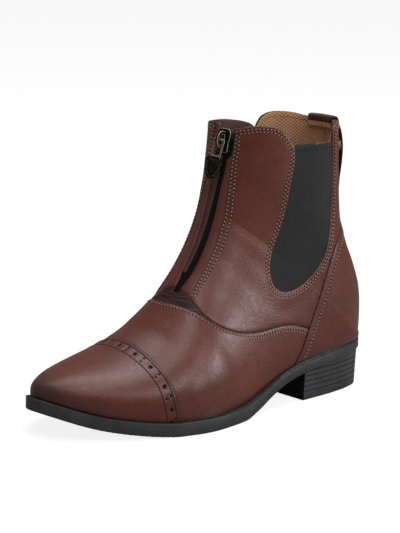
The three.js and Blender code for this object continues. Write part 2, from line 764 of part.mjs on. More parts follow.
const heelFoot = [[-BEYOND, LOW], [HEEL_BREAST * 1.1, LOW]];
const heelTop = [...underLine.reverse(), [-BEYOND, underside(0) - GAP]];
const heel = heelStack.intersect(sidePrism([...heelFoot, ...heelTop], -FAR, FAR));

// Zip: tape with its coil behind the opening, and the guard strip at the far edge
const ZIP_LOW = 0.42;
const TAPE_THICK = 0.9;
const TAPE_EDGE = 3.5;
const ZIP_FROM_ROW = 8;
const tapeForm = frontPrism(zipSlit(TAPE_EDGE), FRONT_FROM, FRONT_TO);
const zipBack = shell(-WALL - GAP - TAPE_THICK, -WALL - GAP, ZIP_FROM_ROW).intersect(tapeForm);
const COIL_WIDE = 3.4;
const COIL_MIDDLE = ZIP_SIDE + 1.5;
const coilLoop = [
  [COIL_MIDDLE + COIL_WIDE / 2, (ZIP_LOW + 0.0155) * BOOT_HEIGHT],
  [COIL_MIDDLE + COIL_WIDE / 2, HIGH],
  [COIL_MIDDLE - COIL_WIDE / 2, HIGH],
  [COIL_MIDDLE - COIL_WIDE / 2, (ZIP_LOW + 0.0155) * BOOT_HEIGHT],
];
const coilSheet = shell(-WALL - GAP - TAPE_THICK / 2, -WALL - GAP + 1, ZIP_FROM_ROW);
const coil = coilSheet.intersect(frontPrism(coilLoop, FRONT_FROM, FRONT_TO));
const ZIP_HIGH = 0.968 * BOOT_HEIGHT;
const zipTop = sidePrism([[0, 0], [SOLE_LENGTH, 0], [SOLE_LENGTH, ZIP_HIGH], [0, ZIP_HIGH]], -FAR, FAR);
const zipTape = zipBack.add(coil).intersect(zipTop);
const guardEdge = ZIP_SLIT.filter((r) => r.high > 0.46 && r.high < 0.88);
const guardOutline = [
  ...guardEdge.map((r) => [ZIP_SIDE + Math.min(r.inner + GAP + 2.4, -0.6), r.high * BOOT_HEIGHT + 3]),
  ...guardEdge.map((r) => [ZIP_SIDE + r.inner + GAP, r.high * BOOT_HEIGHT + 3]).reverse(),
];
const guardSheet = shell(-WALL + 0.3, -0.5, ZIP_FROM_ROW);
const zipGuard = guardSheet.intersect(frontPrism(guardOutline, FRONT_FROM, FRONT_TO));

// First row of the fan where a point of its section reaches a height
function rowWhere(point, z) {
  let u = HEEL_ROW;
  while (u < LAST.length - 1.5 && sectionAt(u)[point][1] < z) u += 0.02;
  return u;
}

// Frame on the front of the shaft for the zip's slider: x across, y out of the leather, z up the zip
const SLIDER_AT = 0.942;
const sliderRow = rowWhere("top", SLIDER_AT * BOOT_HEIGHT);
const sliderUp = skinPoint(sliderRow + 0.3, 0).sub(skinPoint(sliderRow - 0.3, 0)).setX(0).normalize();
const sliderOut = new THREE.Vector3(1, 0, 0).cross(sliderUp).normalize();
const sliderAt = offsetPoint(sliderRow, 0, 0).setX(COIL_MIDDLE);
const sliderFrame = new THREE.Matrix4().makeBasis(new THREE.Vector3(-1, 0, 0), sliderOut, sliderUp);
sliderFrame.setPosition(sliderAt);

// Flat piece with an outline in x and z, between two heights out of the leather
function plate(points, y0, y1, frame) {
  const shape = new THREE.Shape(points.map(([x, z]) => new THREE.Vector2(x, z)));
  const g = new THREE.ExtrudeGeometry(shape, { depth: y1 - y0, bevelEnabled: false });
  const p = g.getAttribute("position");
  for (let i = 0; i < p.count; i += 1) p.setXYZ(i, p.getX(i), y0 + p.getZ(i), p.getY(i));
  return solidOfGeometry(g.applyMatrix4(frame));
}

// Piece with an outline in y and z, centred across the zip
function arch(points, width, holes = []) {
  const shape = new THREE.Shape(points.map(([y, z]) => new THREE.Vector2(y, z)));
  for (const hole of holes) shape.holes.push(new THREE.Path(hole.map(([y, z]) => new THREE.Vector2(y, z))));
  const g = new THREE.ExtrudeGeometry(shape, { depth: width, bevelEnabled: false });
  const p = g.getAttribute("position");
  for (let i = 0; i < p.count; i += 1) p.setXYZ(i, p.getZ(i) - width / 2, p.getX(i), p.getY(i));
  return solidOfGeometry(g.applyMatrix4(sliderFrame));
}

// Slider: a waisted body on the coil with a bridge over it
const SLIDER_HIGH = 16;
const SLIDER_WIDE = 13;
const BODY_TOP = 1.4;
const BRIDGE_OUT = 7.4;
const BRIDGE_WIDE = 2.4;
const BRIDGE_THICK = 1.4;
const HINGE_OUT = 4.4;
const BAR = 0.6;
function mirrorX(half) {
  return [...half, ...half.map(([x, z]) => [-x, z]).reverse()];
}
function scaled(rows, wide, high) {
  return rows.map(([a, b]) => [a * wide, b * high]);
}
const bodyOutline = mirrorX(
  scaled(
    [
      [0.28, -0.5],
      [0.4, -0.4],
      [0.4, -0.05],
      [0.5, 0.2],
      [0.46, 0.42],
      [0.3, 0.5],
    ],
    SLIDER_WIDE,
    SLIDER_HIGH,
  ),
);
const bridgeLoop = smooth(
  [
    [BODY_TOP - 0.6, -0.33 * SLIDER_HIGH],
    [0.72 * BRIDGE_OUT, -0.31 * SLIDER_HIGH],
    [BRIDGE_OUT, -0.115 * SLIDER_HIGH],
    [BRIDGE_OUT, 0.157 * SLIDER_HIGH],
    [0.72 * BRIDGE_OUT, 0.357 * SLIDER_HIGH],
    [BODY_TOP - 0.6, 0.37 * SLIDER_HIGH],
  ],
  14,
);
const bridgeHole = smooth(
  [
    [BODY_TOP + 0.3, -0.215 * SLIDER_HIGH],
    [0.66 * BRIDGE_OUT, -0.207 * SLIDER_HIGH],
    [BRIDGE_OUT - BRIDGE_THICK, -0.07 * SLIDER_HIGH],
    [BRIDGE_OUT - BRIDGE_THICK, 0.115 * SLIDER_HIGH],
    [0.66 * BRIDGE_OUT, 0.243 * SLIDER_HIGH],
    [BODY_TOP + 0.3, 0.25 * SLIDER_HIGH],
  ],
  12,
);
const bridge = arch(bridgeLoop, BRIDGE_WIDE, [bridgeHole]);
const slider = plate(bodyOutline, -TAPE_THICK, BODY_TOP, sliderFrame).add(bridge);

// Pull: a cross bar under the bridge, a slotted stem and a plain rounded drop with a raised rim;
// it hangs loosely, so its own frame is twisted about its long axis, and leans and tilts a little
const PULL_LONG = 27;
const STEM_LONG = 14;
const STEM_WIDE = 7.6;
const SLOT_WIDE = 5.2;
const SLOT_END = 3;
const DROP_WIDE = 11.4;
const PULL_THICK = 1.5;
const RIM_HIGH = 0.3;
const FIELD_SHARE = 0.8;
const HINGE_HIGH = 0.3;
const TWIST_DEGREES = 35;
const LEAN_DEGREES = 4;
const TILT_DEGREES = 6;
const { degToRad } = THREE.MathUtils;
const pullFrame = sliderFrame
  .clone()
  .multiply(new THREE.Matrix4().makeTranslation(0, HINGE_OUT, HINGE_HIGH))
  .multiply(new THREE.Matrix4().makeRotationX(degToRad(TILT_DEGREES)))
  .multiply(new THREE.Matrix4().makeRotationY(degToRad(-LEAN_DEGREES)))
  .multiply(new THREE.Matrix4().makeRotationZ(degToRad(TWIST_DEGREES)));
const stem = [
  [STEM_WIDE / 2, BAR],
  [-STEM_WIDE / 2, BAR],
  [-STEM_WIDE / 2, -STEM_LONG],
  [STEM_WIDE / 2, -STEM_LONG],
];
const slot = [
  [SLOT_WIDE / 2, 2 * BAR],
  [-SLOT_WIDE / 2, 2 * BAR],
  [-SLOT_WIDE / 2, -STEM_LONG + SLOT_END],
  [SLOT_WIDE / 2, -STEM_LONG + SLOT_END],
];
const DROP = [
  [0.2, -0.465],
  [0.44, -0.475],
  [0.5, -0.56],
  [0.47, -0.72],
  [0.32, -0.88],
  [0.1, -0.985],
];
const dropOutline = smooth(mirrorX(scaled(DROP, DROP_WIDE, PULL_LONG)), 24, true).slice(0, -1);
const dropMiddle = -0.7 * PULL_LONG;
const dropField = dropOutline.map(([x, z]) => [
  x * FIELD_SHARE,
  dropMiddle + (z - dropMiddle) * FIELD_SHARE,
]);
const pullBack = -PULL_THICK / 2;
const pullFace = PULL_THICK / 2;
const bar = new THREE.CylinderGeometry(BAR, BAR, STEM_WIDE - 1, 14);
bar.rotateZ(Math.PI / 2);
const pull = plate(stem, pullBack, pullFace, pullFrame)
  .subtract(plate(slot, pullBack - 1, pullFace + 1, pullFrame))
  .add(plate(dropOutline, pullBack, pullFace + RIM_HIGH, pullFrame))
  .subtract(plate(dropField, pullFace - RIM_HIGH, pullFace + 2, pullFrame))
  .add(solidOfGeometry(bar.applyMatrix4(pullFrame)));
const hinge = new THREE.Vector3().applyMatrix4(pullFrame);
const hingeAxis = new THREE.Vector3(1, 0, 0).transformDirection(sliderFrame);

// Back tab: a strap folded over the back of the collar, standing off the shaft in a bow
const TAB_WIDE = 23;
const TAB_THICK = 1.5;
const TAB_SHIFT = -0.08;
const TAB_TOP = BACK_HIGH + 0.0085;
const TAB_BEND = BACK_HIGH - 0.001;
const IN_FACE = -WALL - 3 * GAP - TAB_THICK / 2;
const OUT_FACE = LAYER + 2 * GAP + TAB_THICK / 2;
const TAB_PATH = [
  { high: 0.735, out: OUT_FACE },
  { high: 0.765, out: OUT_FACE + 0.5 },
  { high: 0.805, out: OUT_FACE + 1.7 },
  { high: 0.848, out: OUT_FACE + 2.8 },
  { high: 0.887, out: OUT_FACE + 3.3 },
  { high: 0.922, out: OUT_FACE + 2.8 },
  { high: 0.95, out: OUT_FACE + 1.7 },
  { high: 0.967, out: OUT_FACE + 0.5 },
  { high: TAB_BEND, out: OUT_FACE },
  { high: TAB_TOP, out: OUT_FACE - 1 },
  { high: TAB_TOP, out: IN_FACE + 1 },
  { high: TAB_BEND, out: IN_FACE - 0.1 },
  { high: 0.966, out: IN_FACE - 0.1 },
  { high: 0.953, out: IN_FACE - 0.1 },
];
function backFrame(z, across) {
  const u = rowWhere("foot", z);
  const v = across >= 0 ? 1 - 0.062 * across : -1 - 0.062 * across;
  const at = skinPoint(u, v);
  const out = skinNormal(u, v).setZ(0).normalize();
  return { at: at.setZ(z), out };
}
function ribbon(path, wide, thick) {
  const steps = 6;
  const sheets = [];
  for (let j = 0; j <= steps; j += 1) {
    const across = (2 * j) / steps - 1 + TAB_SHIFT;
    const middle = path.map((p) => [p.high * BOOT_HEIGHT, p.out]);
    const loop = middle.map(([z, out], i) => {
      const a = middle[Math.max(i - 1, 0)];
      const b = middle[Math.min(i + 1, middle.length - 1)];
      const along = new THREE.Vector2(b[0] - a[0], b[1] - a[1]).normalize().multiplyScalar(thick / 2);
      return [-1, 1].map((side) => {
        const frame = backFrame(z + along.y * side, across);
        return frame.at.setZ(z + along.y * side).addScaledVector(frame.out, out - EASE - along.x * side);
      });
    });
    sheets.push(loop);
  }
  const list = [];
  for (let i = 0; i + 1 < path.length; i += 1) {
    for (let j = 0; j < steps; j += 1) {
      const a = sheets[j];
      const b = sheets[j + 1];
      quad(list, a[i][0], a[i + 1][0], b[i + 1][0], b[i][0]);
      quad(list, a[i][1], b[i][1], b[i + 1][1], a[i + 1][1]);
    }
    for (const [sheet, flip] of [[sheets[0], false], [sheets[steps], true]]) {
      const corners = [sheet[i][0], sheet[i][1], sheet[i + 1][1], sheet[i + 1][0]];
      quad(list, ...(flip ? corners.reverse() : corners));
    }
  }
  for (let j = 0; j < steps; j += 1) {
    const a = sheets[j];
    const b = sheets[j + 1];
    const n = path.length - 1;
    quad(list, a[0][0], b[0][0], b[0][1], a[0][1]);
    quad(list, a[n][0], a[n][1], b[n][1], b[n][0]);
  }
  return solidOf(list);
}
const tab = ribbon(TAB_PATH, TAB_WIDE, TAB_THICK);

// Snap between the tab and the shaft
const SNAP_WIDE = 9.6;
const snapPlace = backFrame(0.89 * BOOT_HEIGHT, 0.3);
const SNAP_LONG = 2.2;
const snapShape = new THREE.CylinderGeometry(SNAP_WIDE / 2, SNAP_WIDE / 2, SNAP_LONG, 18);
const snapTurn = new THREE.Quaternion().setFromUnitVectors(new THREE.Vector3(0, 1, 0), snapPlace.out);
snapShape.applyQuaternion(snapTurn);
const snapMiddle = snapPlace.at.clone().addScaledVector(snapPlace.out, LAYER + GAP - EASE + SNAP_LONG / 2);
snapShape.translate(snapMiddle.x, snapMiddle.y, snapMiddle.z);
const snap = solidOfGeometry(snapShape);

const boot = new THREE.Group();
boot.name = "paddock_boot";

// Corners that stand off their neighbours' plane by less than this are dropped
const FLAT_ENOUGH = 0.03;
function meshOf(name, solid, look) {
  const mesh = solid.simplify(FLAT_ENOUGH).getMesh();
  const g = new THREE.BufferGeometry();
  g.setAttribute("position", new THREE.BufferAttribute(new Float32Array(mesh.vertProperties), 3));
  g.setIndex(new THREE.BufferAttribute(new Uint32Array(mesh.triVerts), 1));
  g.computeVertexNormals();
  const made = new THREE.Mesh(g, new THREE.MeshStandardMaterial(look));
  made.name = name;
  return made;
}

const LEATHER = { color: "#5d3229", roughness: 0.45, metalness: 0 };
const RUBBER = { color: "#1d1f20", roughness: 0.7, metalness: 0 };
const ELASTIC = { color: "#2c2e30", roughness: 0.9, metalness: 0 };
const BRASS = { color: "#8a7344", roughness: 0.4, metalness: 1 };

const pieces = [
  ["outsole", sole, RUBBER],
  ["heel_block", heel, RUBBER],
  ["insole", insole, { color: "#8a6a48", roughness: 0.8, metalness: 0 }],
  ["upper", upper, LEATHER],
  ["toe_cap", toeCap, LEATHER],
  ["heel_counter", counter, LEATHER],
  ["gore_outer", goreOuter, ELASTIC],
  ["gore_inner", goreInner, ELASTIC],
  ["zip_tape", zipTape, { color: "#121212", roughness: 0.8, metalness: 0 }],
  ["zip_guard", zipGuard, LEATHER],
  ["zip_slider", slider, BRASS],
  ["zip_pull", pull, BRASS],
  ["back_tab", tab, LEATHER],
  ["tab_snap", snap, BRASS],
];
for (const [name, solid, look] of pieces) boot.add(meshOf(name, solid, look));

// The frame: origin under the middle of the whole boot, on the floor
const box = new THREE.Box3().setFromObject(boot);
boot.position.set(-(box.min.x + box.max.x) / 2, -(box.min.y + box.max.y) / 2, -box.min.z);
boot.userData.hinge = hinge.clone().add(boot.position).toArray();
boot.userData.hingeAxis = hingeAxis.toArray();

export default boot;
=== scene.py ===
# Looks for a left paddock boot: leather panels, stitching, zip, gores, sole and heel.
# Sizes are in millimetres, as in the construction. A place in side view is (s, z), with s forward from the
# back of the heel.
import math

import bmesh
import bpy
import numpy as np
from mathutils import Matrix, Vector


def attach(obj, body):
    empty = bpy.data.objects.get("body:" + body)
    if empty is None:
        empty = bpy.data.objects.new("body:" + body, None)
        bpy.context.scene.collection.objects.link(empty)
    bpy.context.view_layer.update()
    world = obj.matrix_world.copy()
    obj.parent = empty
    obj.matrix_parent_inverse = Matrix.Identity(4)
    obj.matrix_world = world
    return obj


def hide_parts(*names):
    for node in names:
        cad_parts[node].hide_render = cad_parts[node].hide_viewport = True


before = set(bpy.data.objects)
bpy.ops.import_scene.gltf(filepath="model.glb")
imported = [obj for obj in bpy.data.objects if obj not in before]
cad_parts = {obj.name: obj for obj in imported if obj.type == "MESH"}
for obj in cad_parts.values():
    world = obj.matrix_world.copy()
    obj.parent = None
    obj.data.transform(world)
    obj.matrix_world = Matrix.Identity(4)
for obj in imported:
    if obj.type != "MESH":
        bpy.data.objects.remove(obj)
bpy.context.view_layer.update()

MM = 0.001
SHIFT = np.array([-2.8435, 140.0, 0.0])

# Driving sizes, the same as in the construction
SOLE_LENGTH = 280.0
BALL_WIDTH = 99.3
BOOT_HEIGHT = 193.0
HEEL_SEAT = 34.1
WALL = 2.0
GAP = 0.3
LAYER = 0.8
OVERLAY = 1.3
FEATHER = 4.0
SOLE_RIM = 2.2
INSOLE = 2.4
GORE = 1.3
SKIRT = 2.5
EASE = 0.7
HEEL_ROW = 18
CROWN_SHARE = 10 / 14
ZIP_SIDE = 3.0
COIL_MIDDLE = ZIP_SIDE + 1.5
BACK_HIGH = 0.982
FLAT_FROM = 0.5
FLAT_TO = 0.72
RIM_LOW, RIM_AHEAD, RIM_FADE = 0.5, 0.62, 0.16
# Gores start this far from the middle, and a field has this value where its panel can't be
SIDE_FROM = 8.0
OUTSIDE = -60.0

# Sole outline: share of length, half-widths as shares of the ball width
OUTLINE = np.array([
    (0, 0, 0), (0.03, 0.166, 0.192), (0.08, 0.24, 0.276), (0.15, 0.288, 0.314), (0.25, 0.324, 0.312),
    (0.36, 0.358, 0.273), (0.45, 0.423, 0.278), (0.55, 0.507, 0.36), (0.63, 0.541, 0.44), (0.7, 0.518, 0.481),
    (0.78, 0.455, 0.472), (0.86, 0.358, 0.415), (0.93, 0.232, 0.322), (0.975, 0.09, 0.208), (1, -0.08, 0.08),
])
# Underside and edge thickness: share of length, shares of the heel seat
SOLE_SIDE = np.array([
    (0, 0.798, 0.2), (0.14, 0.71, 0.2), (0.27, 0.585, 0.2), (0.33, 0.465, 0.205), (0.4, 0.255, 0.235),
    (0.45, 0.1, 0.26), (0.5, 0, 0.28), (0.6, 0, 0.265), (0.72, 0, 0.262), (0.8, 0.07, 0.258), (0.9, 0.232, 0.253),
    (1, 0.52, 0.25),
])
# Sections of the last: top s, top z, foot s, foot z, outer, inner, belly, crown, tuck, ridge
ON_SOLE = -1.0
LAST = np.array([
    (0.9857, 0.135, 0.9857, ON_SOLE, -0.08, 0.08, 0.3, 2, 2, -0.08),
    (0.982, 0.158, 0.982, ON_SOLE, 0, 0.115, 0.3, 2.1, 2, -0.078),
    (0.973, 0.174, 0.973, ON_SOLE, 0.055, 0.16, 0.3, 2.2, 2, -0.076),
    (0.953, 0.189, 0.955, ON_SOLE, 0.13, 0.225, 0.3, 2.2, 2, -0.068),
    (0.919, 0.207, 0.924, ON_SOLE, 0.218, 0.293, 0.3, 2.2, 2, -0.07),
    (0.872, 0.226, 0.879, ON_SOLE, 0.31, 0.355, 0.3, 2.1, 2.2, -0.07),
    (0.818, 0.245, 0.824, ON_SOLE, 0.387, 0.405, 0.3, 2.05, 2.2, -0.068),
    (0.762, 0.27, 0.762, ON_SOLE, 0.45, 0.43, 0.3, 2, 2.2, -0.06),
    (0.71, 0.307, 0.694, ON_SOLE, 0.487, 0.43, 0.3, 2, 2.2, -0.05),
    (0.667, 0.355, 0.625, ON_SOLE, 0.495, 0.405, 0.3, 2, 2.2, -0.04),
    (0.63, 0.41, 0.55, ON_SOLE, 0.475, 0.37, 0.3, 2, 2.2, -0.03),
    (0.598, 0.466, 0.463, ON_SOLE, 0.42, 0.335, 0.31, 2.05, 2.2, -0.02),
    (0.57, 0.523, 0.365, ON_SOLE, 0.372, 0.322, 0.33, 2.1, 2.3, -0.01),
    (0.547, 0.577, 0.255, ON_SOLE, 0.343, 0.32, 0.37, 2.2, 2.4, 0),
    (0.529, 0.628, 0.15, ON_SOLE, 0.33, 0.32, 0.41, 2.25, 2.4, 0),
    (0.516, 0.675, 0.062, ON_SOLE, 0.326, 0.323, 0.43, 2.3, 2.3, 0),
    (0.5125, 0.69, 0.034, ON_SOLE, 0.325, 0.323, 0.43, 2.3, 2.25, 0),
    (0.51, 0.701, 0.0195, ON_SOLE, 0.324, 0.324, 0.43, 2.3, 2.2, 0),
    (0.508, 0.71, 0.0125, ON_SOLE, 0.324, 0.324, 0.43, 2.3, 2.2, 0),
    (0.5, 0.745, 0.0075, 0.26, 0.323, 0.325, 0.44, 2.35, 2.1, 0),
    (0.493, 0.78, 0.0125, 0.345, 0.322, 0.327, 0.45, 2.4, 2.05, 0),
    (0.486, 0.815, 0.034, 0.43, 0.323, 0.33, 0.46, 2.4, 2, 0),
    (0.48, 0.85, 0.066, 0.52, 0.325, 0.333, 0.47, 2.4, 2, 0),
    (0.475, 0.885, 0.087, 0.61, 0.328, 0.337, 0.48, 2.4, 2, 0),
    (0.47, 0.92, 0.098, 0.71, 0.332, 0.34, 0.49, 2.4, 2.05, 0),
    (0.466, 0.96, 0.105, 0.82, 0.335, 0.343, 0.5, 2.4, 2.1, 0),
    (0.463, 1, 0.112, 0.94, 0.338, 0.346, 0.5, 2.4, 2.15, 0),
    (0.461, 1.035, 0.116, 1.035, 0.34, 0.348, 0.5, 2.4, 2.2, 0),
])
TOP_ROW = len(LAST) - 1


def unit(a):
    return a / np.maximum(np.linalg.norm(a, axis=-1), 1e-9)[..., None]


# Length along a line of points, up to each of them
def lengths(p):
    return np.concatenate([[0], np.cumsum(np.linalg.norm(np.diff(p, axis=0), axis=1))])


# Curves and tables
def between(values, u):
    values = np.asarray(values, float)
    last = len(values) - 1
    i = np.clip(np.floor(u).astype(int), 0, last - 1)
    f = u - i
    ext = np.concatenate([[2 * values[0] - values[1]], values, [2 * values[-1] - values[-2]]])
    a, b, c, d = ext[i], ext[i + 1], ext[i + 2], ext[i + 3]
    return b + 0.5 * f * (c - a + f * (2 * a - 5 * b + 4 * c - d + f * (3 * (b - c) + d - a)))


def table_at(keys, values, place):
    last = len(keys) - 1
    at = np.clip(place, keys[0], keys[last])
    i = np.clip(np.searchsorted(keys, at, side="left") - 1, 0, last - 1)
    low = np.maximum(np.arange(last + 1) - 1, 0)
    high = np.minimum(np.arange(last + 1) + 1, last)
    slope = (values[high] - values[low]) / (keys[high] - keys[low])
    span = keys[i + 1] - keys[i]
    f = (at - keys[i]) / span
    a, b = values[i], values[i + 1]
    m, n = slope[i] * span, slope[i + 1] * span
    return a + f * (m + f * (3 * (b - a) - 2 * m - n + f * (2 * (a - b) + m + n)))


def underside(s):
    share = np.asarray(s, float) / SOLE_LENGTH
    z = np.maximum(0, HEEL_SEAT * table_at(SOLE_SIDE[:, 0], SOLE_SIDE[:, 1], share))
    return np.where((share >= FLAT_FROM) & (share <= FLAT_TO), 0, z)


def seat(s):
    share = np.asarray(s, float) / SOLE_LENGTH
    return underside(s) + HEEL_SEAT * table_at(SOLE_SIDE[:, 0], SOLE_SIDE[:, 2], share)


def catmull(points, steps, closed=False):
    p = np.asarray(points, float)
    n = len(p)
    spans = n if closed else n - 1
    t = np.linspace(0, 1, steps + 1) * spans
    i = np.minimum(t.astype(int), spans - 1)
    w = (t - i)[:, None]
    if closed:
        p0, p1, p2, p3 = p[(i - 1) % n], p[i % n], p[(i + 1) % n], p[(i + 2) % n]
    else:
        ext = np.vstack([2 * p[0] - p[1], p, 2 * p[-1] - p[-2]])
        p0, p1, p2, p3 = ext[i], ext[i + 1], ext[i + 2], ext[i + 3]
    span = lambda a, b: np.maximum(np.linalg.norm(b - a, axis=1), 1e-8)[:, None] ** 0.5
    d0, d1, d2 = span(p0, p1), span(p1, p2), span(p2, p3)
    m = ((p1 - p0) / d0 - (p2 - p0) / (d0 + d1) + (p2 - p1) / d1) * d1
    k = ((p2 - p1) / d1 - (p3 - p1) / (d1 + d2) + (p3 - p2) / d2) * d1
    return p1 + w * (m + w * (3 * (p2 - p1) - 2 * m - k + w * (2 * (p1 - p2) + m + k)))


def side_curve(column, sign):
    row = lambda r, c, way: (r[0] * SOLE_LENGTH, way * r[c] * BALL_WIDTH)
    points = [row(OUTLINE[1], 3 - column, -sign), *[row(r, column, sign) for r in OUTLINE],
              row(OUTLINE[-2], 3 - column, -sign)]
    steps, spans = 24, len(points) - 1
    return catmull(points, spans * steps)[steps:(spans - 1) * steps + 1]


OUTER_SIDE = side_curve(1, 1)
INNER_SIDE = side_curve(2, -1)


def inset_side(points, sign, inset):
    t = unit(np.vstack([points[1:], points[-1:]]) - np.vstack([points[:1], points[:-1]]))
    n = np.column_stack([t[:, 1] * sign, -t[:, 0] * sign])
    n[0], n[-1] = (1, 0), (-1, 0)
    moved = points + n * inset
    moved[:, 0] = np.maximum.accumulate(moved[:, 0])
    return moved


def side_at(points, s):
    return np.interp(s, points[:, 0], points[:, 1])


FOOT_OUTER = inset_side(OUTER_SIDE, 1, FEATHER)
FOOT_INNER = inset_side(INNER_SIDE, -1, FEATHER)
RAISED = np.where(LAST[:, 3] == ON_SOLE, seat(LAST[:, 2] * SOLE_LENGTH), LAST[:, 3] * BOOT_HEIGHT)


# Point of the last's skin in source coordinates: v runs from the outer foot (1) over the ridge (0) to the
# inner foot (-1)
def skin(u, v):
    u, v = np.broadcast_arrays(np.clip(np.asarray(u, float), 0, TOP_ROW), np.asarray(v, float))
    col = lambda k: between(LAST[:, k], u)
    top_s, top_z = col(0) * SOLE_LENGTH, col(1) * BOOT_HEIGHT
    foot_s = col(2) * SOLE_LENGTH
    foot_z = np.where(u <= HEEL_ROW, seat(foot_s), between(RAISED, u))
    on_sole = u < HEEL_ROW
    ridge = col(9) * BALL_WIDTH
    side = np.where(v >= 0, col(4), -col(5)) * BALL_WIDTH
    base = np.where(on_sole, np.where(v >= 0, side_at(FOOT_OUTER, foot_s), side_at(FOOT_INNER, foot_s)), 0)
    belly, crown, tuck = col(6), col(7), col(8)
    a = np.abs(v)
    up = (math.pi / 2) * (1 - np.minimum(a / CROWN_SHARE, 1))
    down = (math.pi / 2) * np.clip((a - CROWN_SHARE) / (1 - CROWN_SHARE), 0, 1)
    high = a <= CROWN_SHARE
    power = lambda q, e: np.maximum(q, 0) ** e
    t = np.where(high, belly + (1 - belly) * power(np.sin(up), 2 / crown),
                 belly * (1 - power(np.sin(down), 2 / tuck)))
    x = np.where(high, ridge + (side - ridge) * power(np.cos(up), 2 / crown),
                 base + (side - base) * power(np.cos(down), 2 / tuck))
    s = foot_s + (top_s - foot_s) * t
    z = foot_z + (top_z - foot_z) * t
    tip = u <= 0
    x, s, z = np.where(tip, ridge, x), np.where(tip, foot_s, s), np.where(tip, foot_z, z)
    return np.stack([x, -s, z], -1)


def skin_normal(u, v):
    u, v = np.broadcast_arrays(np.asarray(u, float), np.asarray(v, float))
    du, dv = 0.05, 0.02
    rear = (np.abs(v) > 0.999) & (u >= HEEL_ROW)
    v1 = np.where(rear, -1 + dv, np.maximum(v - dv, -1))
    v2 = np.where(rear, 1 - dv, np.minimum(v + dv, 1))
    along = skin(u + du, v) - skin(u - du, v)
    across = skin(u, v2) - skin(u, v1)
    across[rear] *= -1
    n = unit(-np.cross(along, across))
    n[u < 0.02] = (0, -1, 0)
    return n


def ramp(x, a, b):
    t = np.clip((np.asarray(x, float) - a) / (b - a), 0, 1)
    return t * t * (3 - 2 * t)


# Height of the sole's rim over its seat
def rim(s):
    rise = np.clip((RIM_AHEAD - s / SOLE_LENGTH) / RIM_FADE, 0, 1)
    return RIM_LOW + (SOLE_RIM - RIM_LOW) * rise * rise * (3 - 2 * rise)


# Soft creases and swells of the leather: side (1 outer, -1 inner, 0 both), depth, width, points (s, z)
CREASES = [
    (0, 0.16, 5.0, [(168, 66), (158, 52), (150, 40), (146, 28)]),
    (0, 0.2, 6.0, [(192, 58), (184, 44), (180, 28)]),
    (0, 0.14, 6.0, [(142, 104), (128, 88), (112, 74), (96, 66)]),
    (0, 0.1, 6.0, [(139, 126), (126, 112), (116, 100)]),
    (1, 0.12, 5.0, [(66, 82), (80, 72), (96, 68)]),
    (-1, 0.2, 5.0, [(66, 80), (82, 70), (98, 66)]),
]


def line_distance(x, y, points):
    best = np.full(np.shape(x), 1e9)
    for (ax, ay), (bx, by) in zip(points[:-1], points[1:]):
        ex, ey = bx - ax, by - ay
        t = np.clip(((x - ax) * ex + (y - ay) * ey) / max(ex * ex + ey * ey, 1e-9), 0, 1)
        best = np.minimum(best, (x - ax - t * ex) ** 2 + (y - ay - t * ey) ** 2)
    return np.sqrt(best)


def creases(p, v):
    s, z = -p[..., 1], p[..., 2]
    lift = np.zeros(s.shape)
    for side, depth, width, points in CREASES:
        d = line_distance(s, z, catmull(points, 12))
        mine = 1.0 if side == 0 else ramp(v * side, 0.02, 0.12)
        lift -= mine * depth * (np.exp(-((d / width) ** 2)) - 0.45 * np.exp(-(((d - 1.7 * width) / width) ** 2)))
    return lift


def place(u, v, out, relief=True):
    p, n = skin(u, v), skin_normal(u, v)
    lift = np.asarray(out, float) - EASE
    if relief:
        lift = lift + creases(p, v)
    p = p + n * lift[..., None]
    p[..., 2] -= SKIRT * ramp(np.abs(v), 0.94, 1.0) * (1 - ramp(u, 16.0, HEEL_ROW))
    return p, n


# Signed distance to an outline, positive inside
def inside(x, y, outline):
    ring = np.vstack([outline, outline[:1]])
    odd = np.zeros(x.shape, bool)
    for (ax, ay), (bx, by) in zip(ring[:-1], ring[1:]):
        if by != ay:
            odd ^= ((ay > y) != (by > y)) & (x < ax + (y - ay) * (bx - ax) / (by - ay))
    return np.where(odd, 1.0, -1.0) * line_distance(x, y, ring)


def shares(rows):
    return [(s * SOLE_LENGTH, z * BOOT_HEIGHT) for s, z in rows]


# Outlines in side view, as in the construction
DOME = catmull(shares([
    (0.52, 0.974), (0.47, 0.976), (0.455, 0.985), (0.43, 0.995), (0.385, 0.99), (0.362, 0.972), (0.347, 0.948),
    (0.336, 0.926)]), 60)
REAR_OUTER = catmull(shares([(0.19, 0.922), (0.187, 0.949), (0.181, 0.97), (0.165, 0.98), (0.12, BACK_HIGH),
                             (0.05, BACK_HIGH)]), 40)
COLLAR_OUTER = np.vstack([DOME, REAR_OUTER])
COLLAR_INNER = np.vstack([
    catmull(shares([(0.52, 1), (0.478, 1), (0.455, 0.993), (0.42, 0.986), (0.35, 0.979), (0.3, 0.969),
                    (0.27, 0.958), (0.256, 0.947), (0.25, 0.938)]), 70),
    catmull(shares([(0.247, 0.938), (0.24, 0.958), (0.228, 0.98), (0.205, 0.993), (0.17, 0.994), (0.146, 0.989),
                    (0.13, BACK_HIGH), (0.05, BACK_HIGH)]), 60),
])
GORE_OUTER = np.vstack([
    shares([(0.345, 1.1)]),
    catmull(shares([(0.332, 0.93), (0.329, 0.87), (0.337, 0.79), (0.35, 0.675), (0.371, 0.59), (0.384, 0.545),
                    (0.39, 0.492), (0.38, 0.44), (0.354, 0.413), (0.31, 0.413), (0.252, 0.455), (0.214, 0.515),
                    (0.194, 0.6), (0.183, 0.7), (0.182, 0.85), (0.186, 0.93)]), 90),
    shares([(0.187, 1.1)]),
])
